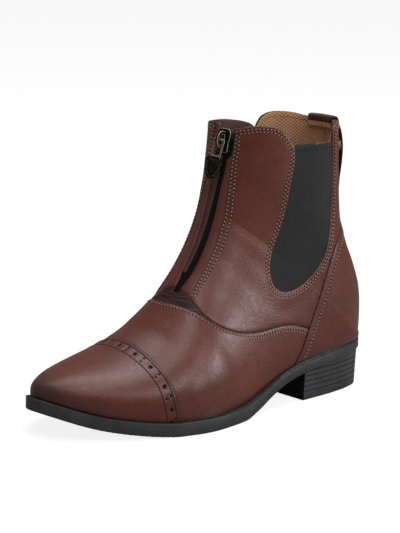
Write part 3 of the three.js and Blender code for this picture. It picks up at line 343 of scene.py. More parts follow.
GORE_INNER = catmull(shares([
    (0.264, 0.912), (0.284, 0.904), (0.305, 0.865), (0.33, 0.79), (0.35, 0.675), (0.371, 0.59), (0.384, 0.545),
    (0.39, 0.492), (0.38, 0.44), (0.354, 0.413), (0.31, 0.413), (0.252, 0.455), (0.214, 0.515), (0.194, 0.6),
    (0.187, 0.7), (0.197, 0.85), (0.218, 0.896), (0.238, 0.912)]), 110, closed=True)[:-1]
COUNTER_EDGE = catmull(shares([
    (0.33, 0.04), (0.302, 0.142), (0.279, 0.2), (0.26, 0.264), (0.234, 0.346), (0.208, 0.442), (0.177, 0.537),
    (0.15, 0.58), (0.1, 0.618), (0.04, 0.63)]), 60)
QUARTER_EDGE = catmull(shares([
    (0.63, 0.475), (0.603, 0.455), (0.598, 0.41), (0.588, 0.375), (0.564, 0.344), (0.527, 0.318), (0.482, 0.301),
    (0.434, 0.294), (0.36, 0.299), (0.31, 0.292), (0.25, 0.268)]), 80)
VAMP_EDGE = catmull(shares([
    (0.7, 0.43), (0.65, 0.402), (0.634, 0.399), (0.612, 0.383), (0.59, 0.358), (0.56, 0.332), (0.524, 0.31),
    (0.482, 0.294), (0.434, 0.287), (0.36, 0.292), (0.31, 0.285), (0.24, 0.25)]), 80)
CAP_EDGE = catmull(shares([
    (0.7, -0.05), (0.714, 0.05), (0.727, 0.12), (0.736, 0.19), (0.744, 0.255), (0.744, 0.29), (0.744, 0.4)]), 50)
# Zip opening and facings seen from the front: height share, inner and outer edge beside the zip's centre
ZIP_SLIT = np.array([(0.435, -0.5, 4.5), (0.5, -2.5, 6.8), (0.56, -3.2, 7), (0.64, -4, 6.2), (0.74, -5, 5.6),
                     (0.875, -6, 5.6), (0.895, -6, 9.2), (1.1, -6, 9.2)])
FACING = np.array([(0.4, 13.3), (0.44, 12.8), (0.5, 11.8), (0.56, 11.7), (0.64, 10.7), (0.74, 10), (0.86, 9),
                   (0.91, 9.2), (1.1, 9.2)])
FRONT_FROM = 0.36 * SOLE_LENGTH

COUNTER_FORM, COUNTER_ROOM = (
    np.vstack([COUNTER_EDGE + gap, [(-30, 0.63 * BOOT_HEIGHT + gap), (-30, -30), (100, -30)]]) for gap in (0, GAP))
CAP_FORM, CAP_ROOM = (
    np.vstack([[(SOLE_LENGTH + 20, -30), (SOLE_LENGTH + 20, 90)], (CAP_EDGE - (gap, 0))[::-1]]) for gap in (0, GAP))
QUARTER_FORM = np.vstack([QUARTER_EDGE, [(20, 40), (-30, 60), (-30, 240), (SOLE_LENGTH, 240)]])
VAMP_FORM = np.vstack([VAMP_EDGE, [(30, 30), (20, -30), (SOLE_LENGTH + 20, -30), (SOLE_LENGTH + 20, 100)]])
KEEP_OUTER, KEEP_INNER = (
    np.vstack([[(-20, -30), (SOLE_LENGTH + 20, -30), (SOLE_LENGTH + 20, 60)], collar,
               [(-20, BACK_HIGH * BOOT_HEIGHT)]]) for collar in (COLLAR_OUTER, COLLAR_INNER))


# Places on the last, and the distances that the panels' outlines are cut from
class Places:
    def __init__(self, u, v):
        self.u, self.v = u, v
        self.p = skin(u, v)
        self.x, self.s, self.z = self.p[..., 0], -self.p[..., 1], self.p[..., 2]
        self.outer = self.v >= 0

    def form(self, outline):
        return inside(self.s, self.z, outline)

    def keep(self):
        return np.where(self.outer, self.form(KEEP_OUTER), self.form(KEEP_INNER))

    def gore(self):
        return np.where(self.outer & (self.x > SIDE_FROM), self.form(GORE_OUTER),
                        np.where(~self.outer & (self.x < -SIDE_FROM), self.form(GORE_INNER), OUTSIDE))

    def above_sole(self):
        return self.z - seat(self.s) - rim(self.s) + 0.8

    def in_front(self, f):
        return np.where(self.s > FRONT_FROM, f, OUTSIDE)

    def facing(self):
        beside = np.interp(self.z / BOOT_HEIGHT, FACING[:, 0], FACING[:, 1])
        return self.in_front(beside - np.abs(self.x - ZIP_SIDE))

    def slit_edge(self, column):
        return ZIP_SIDE + np.interp(self.z / BOOT_HEIGHT, ZIP_SLIT[:, 0], ZIP_SLIT[:, column])

    def slit(self, grow=0.0):
        return self.in_front(np.minimum.reduce([
            self.x - (self.slit_edge(1) - grow), self.slit_edge(2) + grow - self.x,
            self.z - (ZIP_SLIT[0, 0] * BOOT_HEIGHT - grow)]))

    def dome(self):
        return np.minimum.reduce([self.keep(), -self.facing(), -self.gore()])


# A fine grid of places: u runs from the toe's tip to the collar, v around
class Fan(Places):
    def __init__(self, us, vs):
        self.us, self.vs = np.asarray(us, float), np.asarray(vs, float)
        super().__init__(*np.meshgrid(self.us, self.vs, indexing="ij"))


# Part of a grid where a field is above zero, cut cleanly along the field's zero line
def march(fan, f):
    nu, nv = f.shape
    count = nu * nv
    ids = np.arange(count).reshape(nu, nv)
    safe = lambda q: np.where(np.abs(q) < 1e-12, 1e-12, q)
    fu = np.clip(f[:-1] / safe(f[:-1] - f[1:]), 0.06, 0.94)
    fv = np.clip(f[:, :-1] / safe(f[:, :-1] - f[:, 1:]), 0.06, 0.94)
    uu = np.zeros((3, nu, nv))
    vv = np.zeros((3, nu, nv))
    uu[0], vv[0] = fan.u, fan.v
    uu[1, :-1] = fan.u[:-1] + fu * (fan.u[1:] - fan.u[:-1])
    vv[1, :-1] = fan.v[:-1]
    uu[2, :, :-1] = fan.u[:, :-1]
    vv[2, :, :-1] = fan.v[:, :-1] + fv * (fan.v[:, 1:] - fan.v[:, :-1])
    link = np.arange(3 * count)
    closed = fan.us >= HEEL_ROW - 1e-6
    if abs(fan.vs[0] - fan.vs[-1]) > 1.999:
        link[ids[closed, -1]] = ids[closed, 0]
        link[count + ids[closed, -1]] = count + ids[closed, 0]
    b = f > 0
    c = [ids[:-1, :-1], ids[1:, :-1], ids[1:, 1:], ids[:-1, 1:]]
    e = [count + ids[:-1, :-1], 2 * count + ids[1:, :-1], count + ids[:-1, 1:], 2 * count + ids[:-1, :-1]]
    bit = [b[:-1, :-1], b[1:, :-1], b[1:, 1:], b[:-1, 1:]]
    case = bit[0] + 2 * bit[1] + 4 * bit[2] + 8 * bit[3]
    faces = {}
    for k in range(1, 16):
        chosen = case == k
        if not chosen.any():
            continue
        columns = []
        for q in range(4):
            here, then = (k >> q) & 1, (k >> ((q + 1) % 4)) & 1
            if here:
                columns.append(c[q][chosen])
            if here != then:
                columns.append(e[q][chosen])
        faces.setdefault(len(columns), []).append(link[np.column_stack(columns)])
    faces = {n: np.vstack(rows) for n, rows in faces.items()}
    used = np.unique(np.concatenate([a.ravel() for a in faces.values()]))
    faces = {n: np.searchsorted(used, a) for n, a in faces.items()}
    u, v = uu.ravel()[used], vv.ravel()[used]
    values = np.where(used < count, f.ravel()[used % count], 0.0)
    return u, v, faces, values, used >= count


def border(faces, n):
    a = np.concatenate([f.ravel() for f in faces.values()])
    b = np.concatenate([np.roll(f, -1, 1).ravel() for f in faces.values()])
    key = np.minimum(a, b).astype(np.int64) * n + np.maximum(a, b)
    _, where, times = np.unique(key, return_inverse=True, return_counts=True)
    alone = times[where] == 1
    return a[alone], b[alone]


def turned_out(p, n, faces):
    total = 0.0
    for f in faces.values():
        normal = np.cross(p[f[:, 1]] - p[f[:, 0]], p[f[:, 2]] - p[f[:, 0]])
        total += np.sum(normal * n[f[:, 0]])
    return faces if total > 0 else {k: f[:, ::-1].copy() for k, f in faces.items()}


def linked(name, data):
    obj = bpy.data.objects.new(name, data)
    bpy.context.collection.objects.link(obj)
    return obj


# Blender mesh from arrays, in the part's frame and in metres
def make(name, points, faces, materials, index=None, attributes=None):
    mesh = bpy.data.meshes.new(name)
    points = np.asarray(points, float) + SHIFT
    mesh.vertices.add(len(points))
    mesh.vertices.foreach_set("co", (points * MM).astype(np.float32).ravel())
    loops = np.concatenate([g.ravel() for g in faces]).astype(np.int32)
    sizes = np.concatenate([np.full(len(g), g.shape[1]) for g in faces])
    mesh.loops.add(len(loops))
    mesh.loops.foreach_set("vertex_index", loops)
    mesh.polygons.add(len(sizes))
    mesh.polygons.foreach_set("loop_start", np.concatenate([[0], np.cumsum(sizes)[:-1]]).astype(np.int32))
    for m in materials:
        mesh.materials.append(m)
    mesh.update(calc_edges=True)
    if index is not None:
        mesh.polygons.foreach_set("material_index", np.asarray(index, np.int32))
    mesh.polygons.foreach_set("use_smooth", np.full(len(sizes), True))
    for key, values in (attributes or {}).items():
        mesh.attributes.new(key, "FLOAT", "POINT").data.foreach_set("value", np.asarray(values, np.float32))
    mesh.validate()
    return linked(name, mesh)


def ride(obj, slot, *nodes, body="boot"):
    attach(obj, body)
    if nodes:
        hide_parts(*nodes)


# Painted shade: the leather is darker at the toe's tip and along the sole, where the light is dim
def sole_and_toe_shade(p):
    s, above = -p[:, 1], p[:, 2] - seat(-p[:, 1])
    low = np.exp(-np.maximum(above, 0) / 3.0) * (0.35 + 0.4 * ramp(s, 215, 255))
    tip = 0.75 * ramp(s, 258, 276)
    return np.clip(np.maximum(low, tip), 0, 0.85)


# Half the shaft's girth, along which the cloths' ribs are counted
HALF_GIRTH = 150.0
# Rounded edge of a panel: how far it goes outward and down, ring by ring
ROUND = [(0.12, 0.04), (0.3, 0.2), (0.38, 0.45), (0.4, 1.5)]


# One sheet of the boot: the part of a grid where a field is above zero, at its height over the wall, with its
# edge rounded down. Attributes carry what the materials follow
def panel(name, fan, field, out, materials, node, slot="leather", rings=ROUND, relief=True, extra=None,
          rim_look=lambda u, v, p: np.ones(len(u), int), flip=False, soft=0.25, sewn=None):
    u, v, faces, f, _ = march(fan, field)
    lift = np.full(u.shape, float(out)) - soft * np.exp(-np.maximum(f, 0) / 0.9)
    if extra is not None:
        lift = lift + extra(u, v, f)
    p, n = place(u, v, lift, relief)
    n = -n if flip else n
    faces = turned_out(p, n, faces)
    groups = list(faces.values())
    a, b = border(faces, len(u))
    low = (np.abs(v) > 0.9999) & (u < HEEL_ROW)
    wanted = ~(low[a] & low[b])
    a, b = a[wanted], b[wanted]
    away = unit(np.cross(p[b] - p[a], n[a] + n[b]))
    total = np.zeros_like(p)
    np.add.at(total, a, away)
    np.add.at(total, b, away)
    verts = np.unique(np.concatenate([a, b]))
    total = unit(total[verts])
    order = np.full(len(u), -1)
    order[verts] = np.arange(len(verts))
    stacks, quads, pa, pb = [p], [], a, b
    for k, (sideways, down) in enumerate(rings):
        stacks.append(p[verts] + total * sideways - n[verts] * down)
        na, nb = (len(p) + k * len(verts) + order[end] for end in (a, b))
        quads.append(np.column_stack([pb, pa, na, nb]))
        pa, pb = na, nb
    index = [*[np.zeros(len(g), int) for g in groups], np.tile(rim_look(u[a], v[a], p[a]), len(rings))]
    p = np.vstack(stacks)
    edge = np.concatenate([f, np.full(len(verts) * len(rings), -0.4)])
    rows, around = (np.concatenate([flat, np.tile(flat[verts], len(rings))])
                    for flat in (f if sewn is None else sewn(u, v), v * HALF_GIRTH))
    ride(make(name, p, [*groups, np.vstack(quads)], materials, np.concatenate(index), {
        "edge": np.clip(edge, -1, 12), "rows": np.clip(rows, -1, 12), "around": around, "sole_and_toe_shade": sole_and_toe_shade(p)}),
        slot, node)


# Lines where a field has one value, as runs of (u, v)
def contour(fan, field, level):
    u, v, faces, _, cut = march(fan, field - level)
    a, b = border(faces, len(u))
    both = cut[a] & cut[b]
    follow = dict(zip(a[both].tolist(), b[both].tolist()))
    starts = set(follow) - set(follow.values())
    lines = []
    while follow:
        at = starts.pop() if starts else next(iter(follow))
        run = [at]
        while at in follow:
            at = follow.pop(at)
            run.append(at)
        if len(run) > 6:
            lines.append((u[run], v[run]))
    return lines


# Evenly spaced places along a line on the surface
def paced(u, v, out, pitch, relief=True):
    p, _ = place(u, v, np.full(u.shape, float(out)), relief)
    keep = np.concatenate([[True], np.linalg.norm(np.diff(p, axis=0), axis=1) > 0.02])
    p, u, v = p[keep], u[keep], v[keep]
    for _ in range(3):
        p[1:-1] = 0.25 * p[:-2] + 0.5 * p[1:-1] + 0.25 * p[2:]
    along = lengths(p)
    count = int(along[-1] / pitch)
    if count < 2:
        return None
    at = np.linspace(0, along[-1], count + 1)
    q = np.column_stack([np.interp(at, along, p[:, k]) for k in range(3)])
    uq, vq = np.interp(at, along, u), np.interp(at, along, v)
    return q, unit(np.gradient(q, axis=0)), skin_normal(uq, vq), uq, vq


# Many small bodies as one mesh: each copy of a pattern is placed by its own axes
class Bunch:
    def __init__(self):
        self.points, self.faces, self.index, self.size = [], {}, {}, 0

    def add(self, pattern, centres, x, y, z, slot=0):
        verts, groups = pattern
        c = np.asarray(centres)
        made = (c[:, None] + verts[None, :, :1] * x[:, None] + verts[None, :, 1:2] * y[:, None]
                + verts[None, :, 2:] * z[:, None])
        starts = self.size + np.arange(len(c)) * len(verts)
        for g in groups:
            rows = (starts[:, None, None] + g[None]).reshape(-1, g.shape[1])
            self.faces.setdefault(g.shape[1], []).append(rows)
            self.index.setdefault(g.shape[1], []).append(np.full(len(rows), slot))
        self.points.append(made.reshape(-1, 3))
        self.size += made.shape[0] * made.shape[1]

    def build(self, name, materials):
        index = np.concatenate([np.concatenate(rows) for rows in self.index.values()])
        return make(name, np.vstack(self.points), [np.vstack(g) for g in self.faces.values()], materials, index)


def bead(length, wide, high, sides=8, rings=5):
    verts = [(-length / 2, 0, 0)]
    for k in range(1, rings + 1):
        angle = math.pi * k / (rings + 1)
        x = -length / 2 * math.copysign(abs(math.cos(angle)) ** 0.55, math.cos(angle))
        r = math.sin(angle) ** 0.6
        for j in range(sides):
            turn = 2 * math.pi * j / sides
            verts.append((x, wide / 2 * r * math.cos(turn), high / 2 * r * math.sin(turn)))
    verts.append((length / 2, 0, 0))
    quads, tris = [], []
    for k in range(rings - 1):
        for j in range(sides):
            a, b = 1 + k * sides + j, 1 + k * sides + (j + 1) % sides
            quads.append((a, b, b + sides, a + sides))
    last = len(verts) - 1
    for j in range(sides):
        tris.append((0, 1 + (j + 1) % sides, 1 + j))
        tris.append((last, last - sides + j, last - sides + (j + 1) % sides))
    return np.array(verts), [np.array(quads)[:, ::-1], np.array(tris)[:, ::-1]]


def disc(radius, sides=10, dome=0.12):
    verts = [(0, 0, dome)]
    for j in range(sides):
        turn = 2 * math.pi * j / sides
        verts.append((radius * math.cos(turn), radius * math.sin(turn), 0))
    return np.array(verts), [np.array([(0, 1 + j, 1 + (j + 1) % sides) for j in range(sides)])]


# Linear colour of a hex code, darker or lighter by a factor
def hexed(code, factor=1):
    lin = lambda c: c / 12.92 if c <= 0.04045 else ((c + 0.055) / 1.055) ** 2.4
    return (*[min(1, lin(int(code[k:k + 2], 16) / 255) * factor) for k in (0, 2, 4)], 1.0)


# Node material: what is put in a socket is a node's output, a number, or a colour as a hex code
class Net:
    def __init__(self, name):
        self.material = bpy.data.materials.new(name)
        self.material.use_nodes = True
        self.tree = self.material.node_tree
        self.shader = self.tree.nodes["Principled BSDF"]
        self.coords = self.node("ShaderNodeTexCoord").outputs["Object"]

    def put(self, socket, value):
        if hasattr(value, "is_linked"):
            self.tree.links.new(value, socket)
        else:
            socket.default_value = hexed(value) if isinstance(value, str) else value

    def node(self, kind, inputs=None, **settings):
        made = self.tree.nodes.new(kind)
        for key, value in settings.items():
            setattr(made, key, value)
        for key, value in (inputs or {}).items():
            self.put(made.inputs[key], value)
        return made

    def noise(self, scale, detail=3.0, rough=0.5, vector=None):
        inputs = {"Vector": vector or self.coords, "Scale": scale, "Detail": detail, "Roughness": rough}
        return self.node("ShaderNodeTexNoise", inputs).outputs["Fac"]

    def cells(self, scale, feature="F1"):
        inputs = {"Vector": self.coords, "Scale": scale, "Randomness": 1.0}
        return self.node("ShaderNodeTexVoronoi", inputs, feature=feature).outputs["Distance"]

    def math(self, kind, a, b=0.0):
        return self.node("ShaderNodeMath", {0: a, 1: b}, operation=kind).outputs[0]

    def span(self, value, a, b, c, d):
        inputs = {"Value": value, "From Min": a, "From Max": b, "To Min": c, "To Max": d}
        return self.node("ShaderNodeMapRange", inputs, interpolation_type="SMOOTHSTEP").outputs[0]

    def blend(self, fac, a, b):
        return self.node("ShaderNodeMix", {0: fac, 6: a, 7: b}, data_type="RGBA").outputs[2]

    def attribute(self, name):
        return self.node("ShaderNodeAttribute", attribute_name=name).outputs["Fac"]

    def bump(self, height, strength, distance, before=None):
        made = self.node("ShaderNodeBump", {"Height": height, "Strength": strength, "Distance": distance})
        if before is not None:
            self.put(made.inputs["Normal"], before)
        return made.outputs["Normal"]

    def finish(self, color, rough, normal, **fixed):
        for key, value in {"Base Color": color, "Roughness": rough, "Normal": normal, **fixed}.items():
            self.put(self.shader.inputs[key.replace("_", " ")], value)
        return self.material


def leather(name, deep, mid, pale, grain=1.0, gloss=0.36, edges=True, rows=()):
    net = Net(name)
    broad = net.span(net.noise(16, 3, 0.55), 0.3, 0.7, 0, 1)
    patch = net.span(net.noise(60, 4, 0.6), 0.35, 0.7, 0, 1)
    speck = net.span(net.noise(1100, 3, 0.6), 0.3, 0.75, 0, 1)
    color = net.blend(net.math("MULTIPLY", broad, 0.35), mid, deep)
    color = net.blend(net.math("MULTIPLY", patch, 0.16), color, pale)
    color = net.blend(net.math("MULTIPLY", speck, 0.2), color, pale)
    color = net.blend(net.span(net.cells(1300), 0.0, 0.3, 0.22, 0.0), color, deep)
    rough = net.span(net.noise(240, 3, 0.6), 0.3, 0.7, gloss - 0.05, gloss + 0.08)
    normal = net.bump(net.cells(950, "SMOOTH_F1"), 0.4 * grain, 0.00025)
    normal = net.bump(net.noise(2600, 2, 0.5), 0.22 * grain, 0.0001, normal)
    normal = net.bump(net.noise(90, 3, 0.5), 0.05, 0.0012, normal)
    if edges:
        # Painted shade: darker close to each panel's edge, in the gaps between the parts
        color = net.blend(net.span(net.attribute("edge"), 0.0, 1.2, 0.5, 0.0), color, deep)
        # Painted shade: darker towards the sole and at the toe's tip
        color = net.blend(net.attribute("sole_and_toe_shade"), color, hexed(deep, 0.6))
        for row in rows:
            off = net.math("ABSOLUTE", net.math("SUBTRACT", net.attribute("rows"), row))
            # Painted shade in the valley of each stitch row; the bump below shapes the valley
            color = net.blend(net.span(off, 0.2, 1.0, 0.55, 0.0), color, deep)
            normal = net.bump(net.span(off, 0, 0.9, 0, 1), 0.35, 0.0003, normal)
    return net.finish(color, rough, normal, Coat_Weight=0.22, Coat_Roughness=0.36, Specular_IOR_Level=0.86,
                      Specular_Tint=(1.0, 0.93, 0.9, 1.0))


# Distances of the two stitch rows from a quarter's edge
ROWS = (1.35, 3.35)
TONES = ("2e0b05", "722517", "8c4630")
LEATHER = leather("leather", *TONES)
LEATHER_SEWN = leather("leather_sewn", *TONES, rows=ROWS)
LEATHER_DARK = leather("leather_dark", "2a0f0a", "4c1d15", "5f2c20", 1.4, 0.55, edges=False)


def creased(name):
    net = Net(name)
    streaks = net.node("ShaderNodeMapping", {"Vector": net.coords, "Rotation": (0, 0.3, 0), "Scale": (1, 1, 7)})
    folds = net.span(net.noise(130, 3, 0.6, streaks.outputs[0]), 0.35, 0.65, 0, 1)
    # Painted shade: darker in the folds' troughs and lighter on their crests, following the bump's noise
    color = net.blend(folds, "250d0a", "4a2019")
    return net.finish(color, 0.42, net.bump(folds, 0.5, 0.0005), Specular_IOR_Level=0.4)


def plain_leather(name, tone, deep, rough=0.5):
    net = Net(name)
    color = net.blend(net.span(net.noise(900, 3, 0.6), 0.3, 0.7, 0, 0.45), tone, deep)
    return net.finish(color, rough, net.bump(net.noise(1800, 3, 0.6), 0.3, 0.0001))


def thread(name, tone, deep):
    net = Net(name)
    color = net.blend(net.span(net.noise(2400, 2, 0.6), 0.3, 0.7, 0, 0.6), tone, deep)
    return net.finish(color, 0.7, net.bump(net.noise(3200.0, 1.0), 0.4, 0.00012), Sheen_Weight=0.2)


# Cloth: ribs run up the piece, or cross at a slant for a twill
def cloth(name, tone, deep, period, rough=0.9, twill=False, sheen=0.1):
    net = Net(name)
    parts = net.node("ShaderNodeSeparateXYZ", {"Vector": net.coords})
    around, high = net.attribute("around"), net.math("MULTIPLY", parts.outputs["Z"], 1000.0)
    wave = lambda q: net.math("SINE", net.math("MULTIPLY", q, 2 * math.pi / period))
    if twill:
        weave = net.math("ADD", wave(net.math("ADD", around, high)), wave(net.math("SUBTRACT", around, high)))
    else:
        weave = wave(around)
    weave = net.math("MULTIPLY", weave, 0.35 if twill else 0.15)
    weave = net.math("ADD", weave, net.math("MULTIPLY", net.noise(1500, 3, 0.7), 0.6))
    color = net.blend(net.span(weave, -0.4, 0.9, 0, 1), deep, tone)
    color = net.blend(net.span(net.noise(120, 3, 0.6), 0.35, 0.75, 0, 0.3), color, deep)
    return net.finish(color, rough, net.bump(weave, 0.5, 0.0003), Sheen_Weight=sheen)


def rubber(name, tone, deep, rough):
    net = Net(name)
    color = net.blend(net.span(net.noise(45, 4, 0.6), 0.3, 0.7, 0, 1), deep, tone)
    color = net.blend(net.span(net.noise(420, 4, 0.7), 0.55, 0.8, 0, 0.25), color, hexed(tone, 2.2))
    return net.finish(color, net.span(net.noise(160, 3, 0.6), 0.3, 0.7, rough - 0.06, rough + 0.08),
                      net.bump(net.noise(1500, 3, 0.6), 0.25, 0.0001), Specular_IOR_Level=0.5)


def metal(name, tone, deep, rough, metallic=1.0):
    net = Net(name)
    color = net.blend(net.span(net.noise(500, 4, 0.7), 0.35, 0.7, 0, 1), deep, tone)
    return net.finish(color, net.span(net.noise(700, 3, 0.6), 0.3, 0.7, rough - 0.1, rough + 0.12),
                      net.bump(net.noise(2200, 3, 0.7), 0.2, 0.00008), Metallic=metallic)


UNDERLAY = creased("leather_underlay")
# Pale cut edge and painted highlight: a lighter leather on the panels' rounded rims, the cut edge's own paler tone
# together with the light caught along it
EDGE_TONE_AND_HIGHLIGHT = plain_leather("leather_edge_tone_and_highlight", "8a5a4c", "57291f")
# Painted shade: a dark leather for rims that lie in shade, in gaps between parts, on the inner side, beside the zip
# and at the tab's edges
EDGE_SHADE = plain_leather("cut_edge_painted_shade", "3a1a15", "24100c")
# Painted shade: near-black for the needle holes and the bottoms of the punched holes
HOLE_SHADE = plain_leather("needle_hole_painted_shade", "1c0a08", "120605", 0.8)
THREAD = thread("thread", "d19f8a", "9c6756")
THREAD_DARK = thread("thread_dark", "5a2c22", "35150f")
THREAD_TAN = thread("thread_tan", "c9a27a", "93683f")
ELASTIC = cloth("elastic", "3d3e3f", "191a1b", 1.7)
LINING = cloth("lining", "fbcb9f", "b9804f", 2.3, 0.85, True, 0.15)
TAPE = cloth("zip_tape_cloth", "1c1d1e", "0a0a0b", 0.9)
FOOTBED = cloth("footbed", "a07a55", "745234", 1.4)
# Painted light: a grey stands in for light on the black rubber's side faces
RUBBER_LIT = rubber("rubber_side_painted_light", "4c4d4f", "3a3b3c", 0.4)
RUBBER_DARK = rubber("rubber_dark", "141516", "0c0d0d", 0.5)
BRASS_DARK = metal("brass_dark", "4a4030", "1e1912", 0.42)
BRASS_BRIGHT = metal("brass_worn_edge", "f6ecd0", "d2bf92", 0.3, 0.4)
BRASS_SNAP = metal("brass_snap", "e0d0a0", "8a7444", 0.3, 0.5)
COIL = rubber("zip_coil", "202122", "0e0e0f", 0.35)


def fine(a, b, step):
    return np.linspace(a, b, int(round((b - a) / step)) + 1)


# Rows of a grid, one of them where the last leaves the sole
def past_heel(low, high, step):
    return np.concatenate([fine(low, HEEL_ROW, step)[:-1], fine(HEEL_ROW, high, step)])


# Grids: a fine one for the leather panels, a coarse one for wall and lining
V_FINE = np.linspace(-1, 1, 281)
whole = Fan(past_heel(2.0, TOP_ROW, 1 / 15), V_FINE)
rough_fan = Fan(past_heel(0.02, TOP_ROW, 1 / 8), np.linspace(-1, 1, 161))
cap_fan = Fan(np.concatenate([fine(0.02, 6.4, 0.09)[:-1], fine(6.4, 8.7, 0.034)]), np.linspace(-1, 1, 461))


# Quarters: each lies over the vamp's foot line and stands back from the zip
dome_field = whole.dome()
quarter_field = np.minimum.reduce([dome_field, whole.form(QUARTER_FORM), -whole.form(COUNTER_ROOM)])
# Rims: the pale, painted-highlight edge on the outer side, the painted-shade edge on the inner side
panel("quarters", whole, quarter_field, LAYER, [LEATHER_SEWN, EDGE_TONE_AND_HIGHLIGHT, EDGE_SHADE], "upper",
      rim_look=lambda u, v, p: np.where(v < 0, 2, 1), sewn=lambda u, v: Places(u, v).dome())

# Vamp
VAMP_LAYER = 0.8 * LAYER
vamp_fan = Fan(fine(4.0, HEEL_ROW, 1 / 15), V_FINE)
vamp_edge = vamp_fan.form(VAMP_FORM)
vamp_field = np.minimum.reduce([vamp_edge, -vamp_fan.form(COUNTER_ROOM), -vamp_fan.form(CAP_ROOM),
                                vamp_fan.above_sole()])
panel("vamp", vamp_fan, vamp_field, VAMP_LAYER, [LEATHER, EDGE_TONE_AND_HIGHLIGHT], "upper")

# Heel counter
counter_fan = Fan(past_heel(10.0, 24, 1 / 15), V_FINE)
counter_edge = counter_fan.form(COUNTER_FORM)
counter_field = np.minimum(counter_edge, counter_fan.above_sole())
panel("counter", counter_fan, counter_field, OVERLAY, [LEATHER, EDGE_SHADE], "heel_counter")

# Wall under the panels: it shows beside the zip and in the small window at the zip's foot
wall_field = np.minimum.reduce([rough_fan.keep(), -rough_fan.gore(), -rough_fan.slit(), rough_fan.above_sole()])
panel("underlay", rough_fan, wall_field, 0.0, [UNDERLAY, EDGE_SHADE], "upper")

# Facings beside the zip: their foot is an arch over the underlay, in front view (x, z)
ARCH = catmull([(40, 66), (31, 70), (22, 78.4), (16.7, 82.6), (12.3, 84.8), (8, 86.6), (3, 87.5), (-2, 86.9),
                (-5.5, 85), (-8, 82), (-10.5, 78.8), (-15, 74.5), (-22, 70), (-40, 66)], 90)
ARCH_FORM = np.vstack([ARCH, [(-60, 66), (-60, 260), (60, 260), (60, 66)]])
ARCH_TOP = 88.5
strip_fan = Fan(fine(8.0, TOP_ROW, 1 / 15), np.linspace(-0.5, 0.5, 161))
strip_field = np.minimum.reduce([strip_fan.keep(), strip_fan.facing() + 1.2, -strip_fan.slit(),
                                 inside(strip_fan.x, strip_fan.z, ARCH_FORM)])
# Painted shade on the rims beside the zip above the arch; the other rims get the pale, painted-highlight edge
near_zip = lambda u, v, p: np.where((np.abs(p[:, 0] - ZIP_SIDE - 5.25) < 4.25) & (p[:, 2] > ARCH_TOP), 2, 1)
panel("facings", strip_fan, strip_field, 0.5, [LEATHER, EDGE_TONE_AND_HIGHLIGHT, EDGE_SHADE], "upper", rim_look=near_zip)

# Toe cap, and its punched rows: distance from the edge, hole's radius, shift in pitches
BIG_HOLE, SMALL_HOLE, HOLE_PITCH, CAP_MIDDLE = 1.45, 0.8, 16.4, -0.7
HOLES = [(4.3, BIG_HOLE, 0.0), (2.8, SMALL_HOLE, 0.5), (5.9, SMALL_HOLE, 0.5)]
cap_edge = cap_fan.form(CAP_FORM)


def hole_places(depth, phase):
    u, v = max(contour(cap_fan, cap_edge, depth), key=lambda run: len(run[0]))
    p, _ = place(u, v, np.full(u.shape, OVERLAY))
    along = lengths(p)
    middle = along[np.argmin(np.abs(p[:, 0] - CAP_MIDDLE) + 100 * (p[:, 2] < 40))]
    marks = middle + HOLE_PITCH * (np.arange(-12, 13) + phase)
    marks = marks[(marks > 3) & (marks < along[-1] - 3)]
    return np.interp(marks, along, u), np.interp(marks, along, v)


cap_field = cap_edge
hole_rows = [(hole_places(depth, phase), radius) for depth, radius, phase in HOLES]
for (hu, hv), radius in hole_rows:
    for c in skin(hu, hv):
        cap_field = np.minimum(cap_field, np.linalg.norm(cap_fan.p - c, axis=-1) - radius)
panel("toe_cap_leather", cap_fan, cap_field, OVERLAY, [LEATHER, EDGE_SHADE], "toe_cap")

# Gores, the outer one with a fold along its hem
GORE_HEM = 0.925 * BOOT_HEIGHT - 0.9
FOLD_AT, FOLD_WIDE, FOLD_DEEP = GORE_HEM - 3.4, 0.55, 0.8
gore_fan = Fan(fine(14.0, TOP_ROW, 1 / 14), np.linspace(-1, 1, 301))
gore_field = np.minimum.reduce([gore_fan.gore() + 1.2, gore_fan.keep(),
                                np.where(gore_fan.outer, GORE_HEM - gore_fan.z, 40)])


def gore_relief(u, v, f):
    fold = np.exp(-(((skin(u, v)[:, 2] - FOLD_AT) / FOLD_WIDE) ** 2)) * (v > 0)
    return -FOLD_DEEP * fold + 0.25 * np.exp(-np.maximum(f, 0) / 5.0)


for node, outer in (("gore_outer", True), ("gore_inner", False)):
    panel(node + "_cloth", gore_fan, np.where(gore_fan.outer == outer, gore_field, OUTSIDE), GORE - WALL,
          [ELASTIC, ELASTIC], node, "elastic", extra=gore_relief, relief=False)

# Lining: cloth at the back and sides, leather behind the zip
LINING_FRONT = 71.0
LINING_LOW = 8.0
lining_field = np.minimum(rough_fan.keep(), -rough_fan.slit(1.0))
behind_zip = np.minimum(lining_field, rough_fan.z - LINING_LOW)
for name, side, field, slot, look in (("lining_cloth", -1, lining_field, "lining", LINING),
                                      ("lining_leather", 1, behind_zip, "leather", LEATHER_DARK)):
    panel(name, rough_fan, np.minimum(field, side * (rough_fan.s - LINING_FRONT) + 0.3), -WALL, [look, look],
          "upper", slot, rings=[(0.1, 0.05), (0.2, 0.3), (0.2, 0.6)], relief=False, flip=True, soft=0.0)

# Stitching: a thread bead at each place, and between two of them a needle hole drawn as a small dark disc of painted
# shade
STITCH, SMALL_STITCH, THICK_STITCH = bead(1.55, 0.78, 0.55), bead(1.2, 0.5, 0.42), bead(1.5, 0.6, 0.5)
NEEDLE = disc(0.55)
NEEDLE[0][:, 0] *= 1.4
stitches = Bunch()


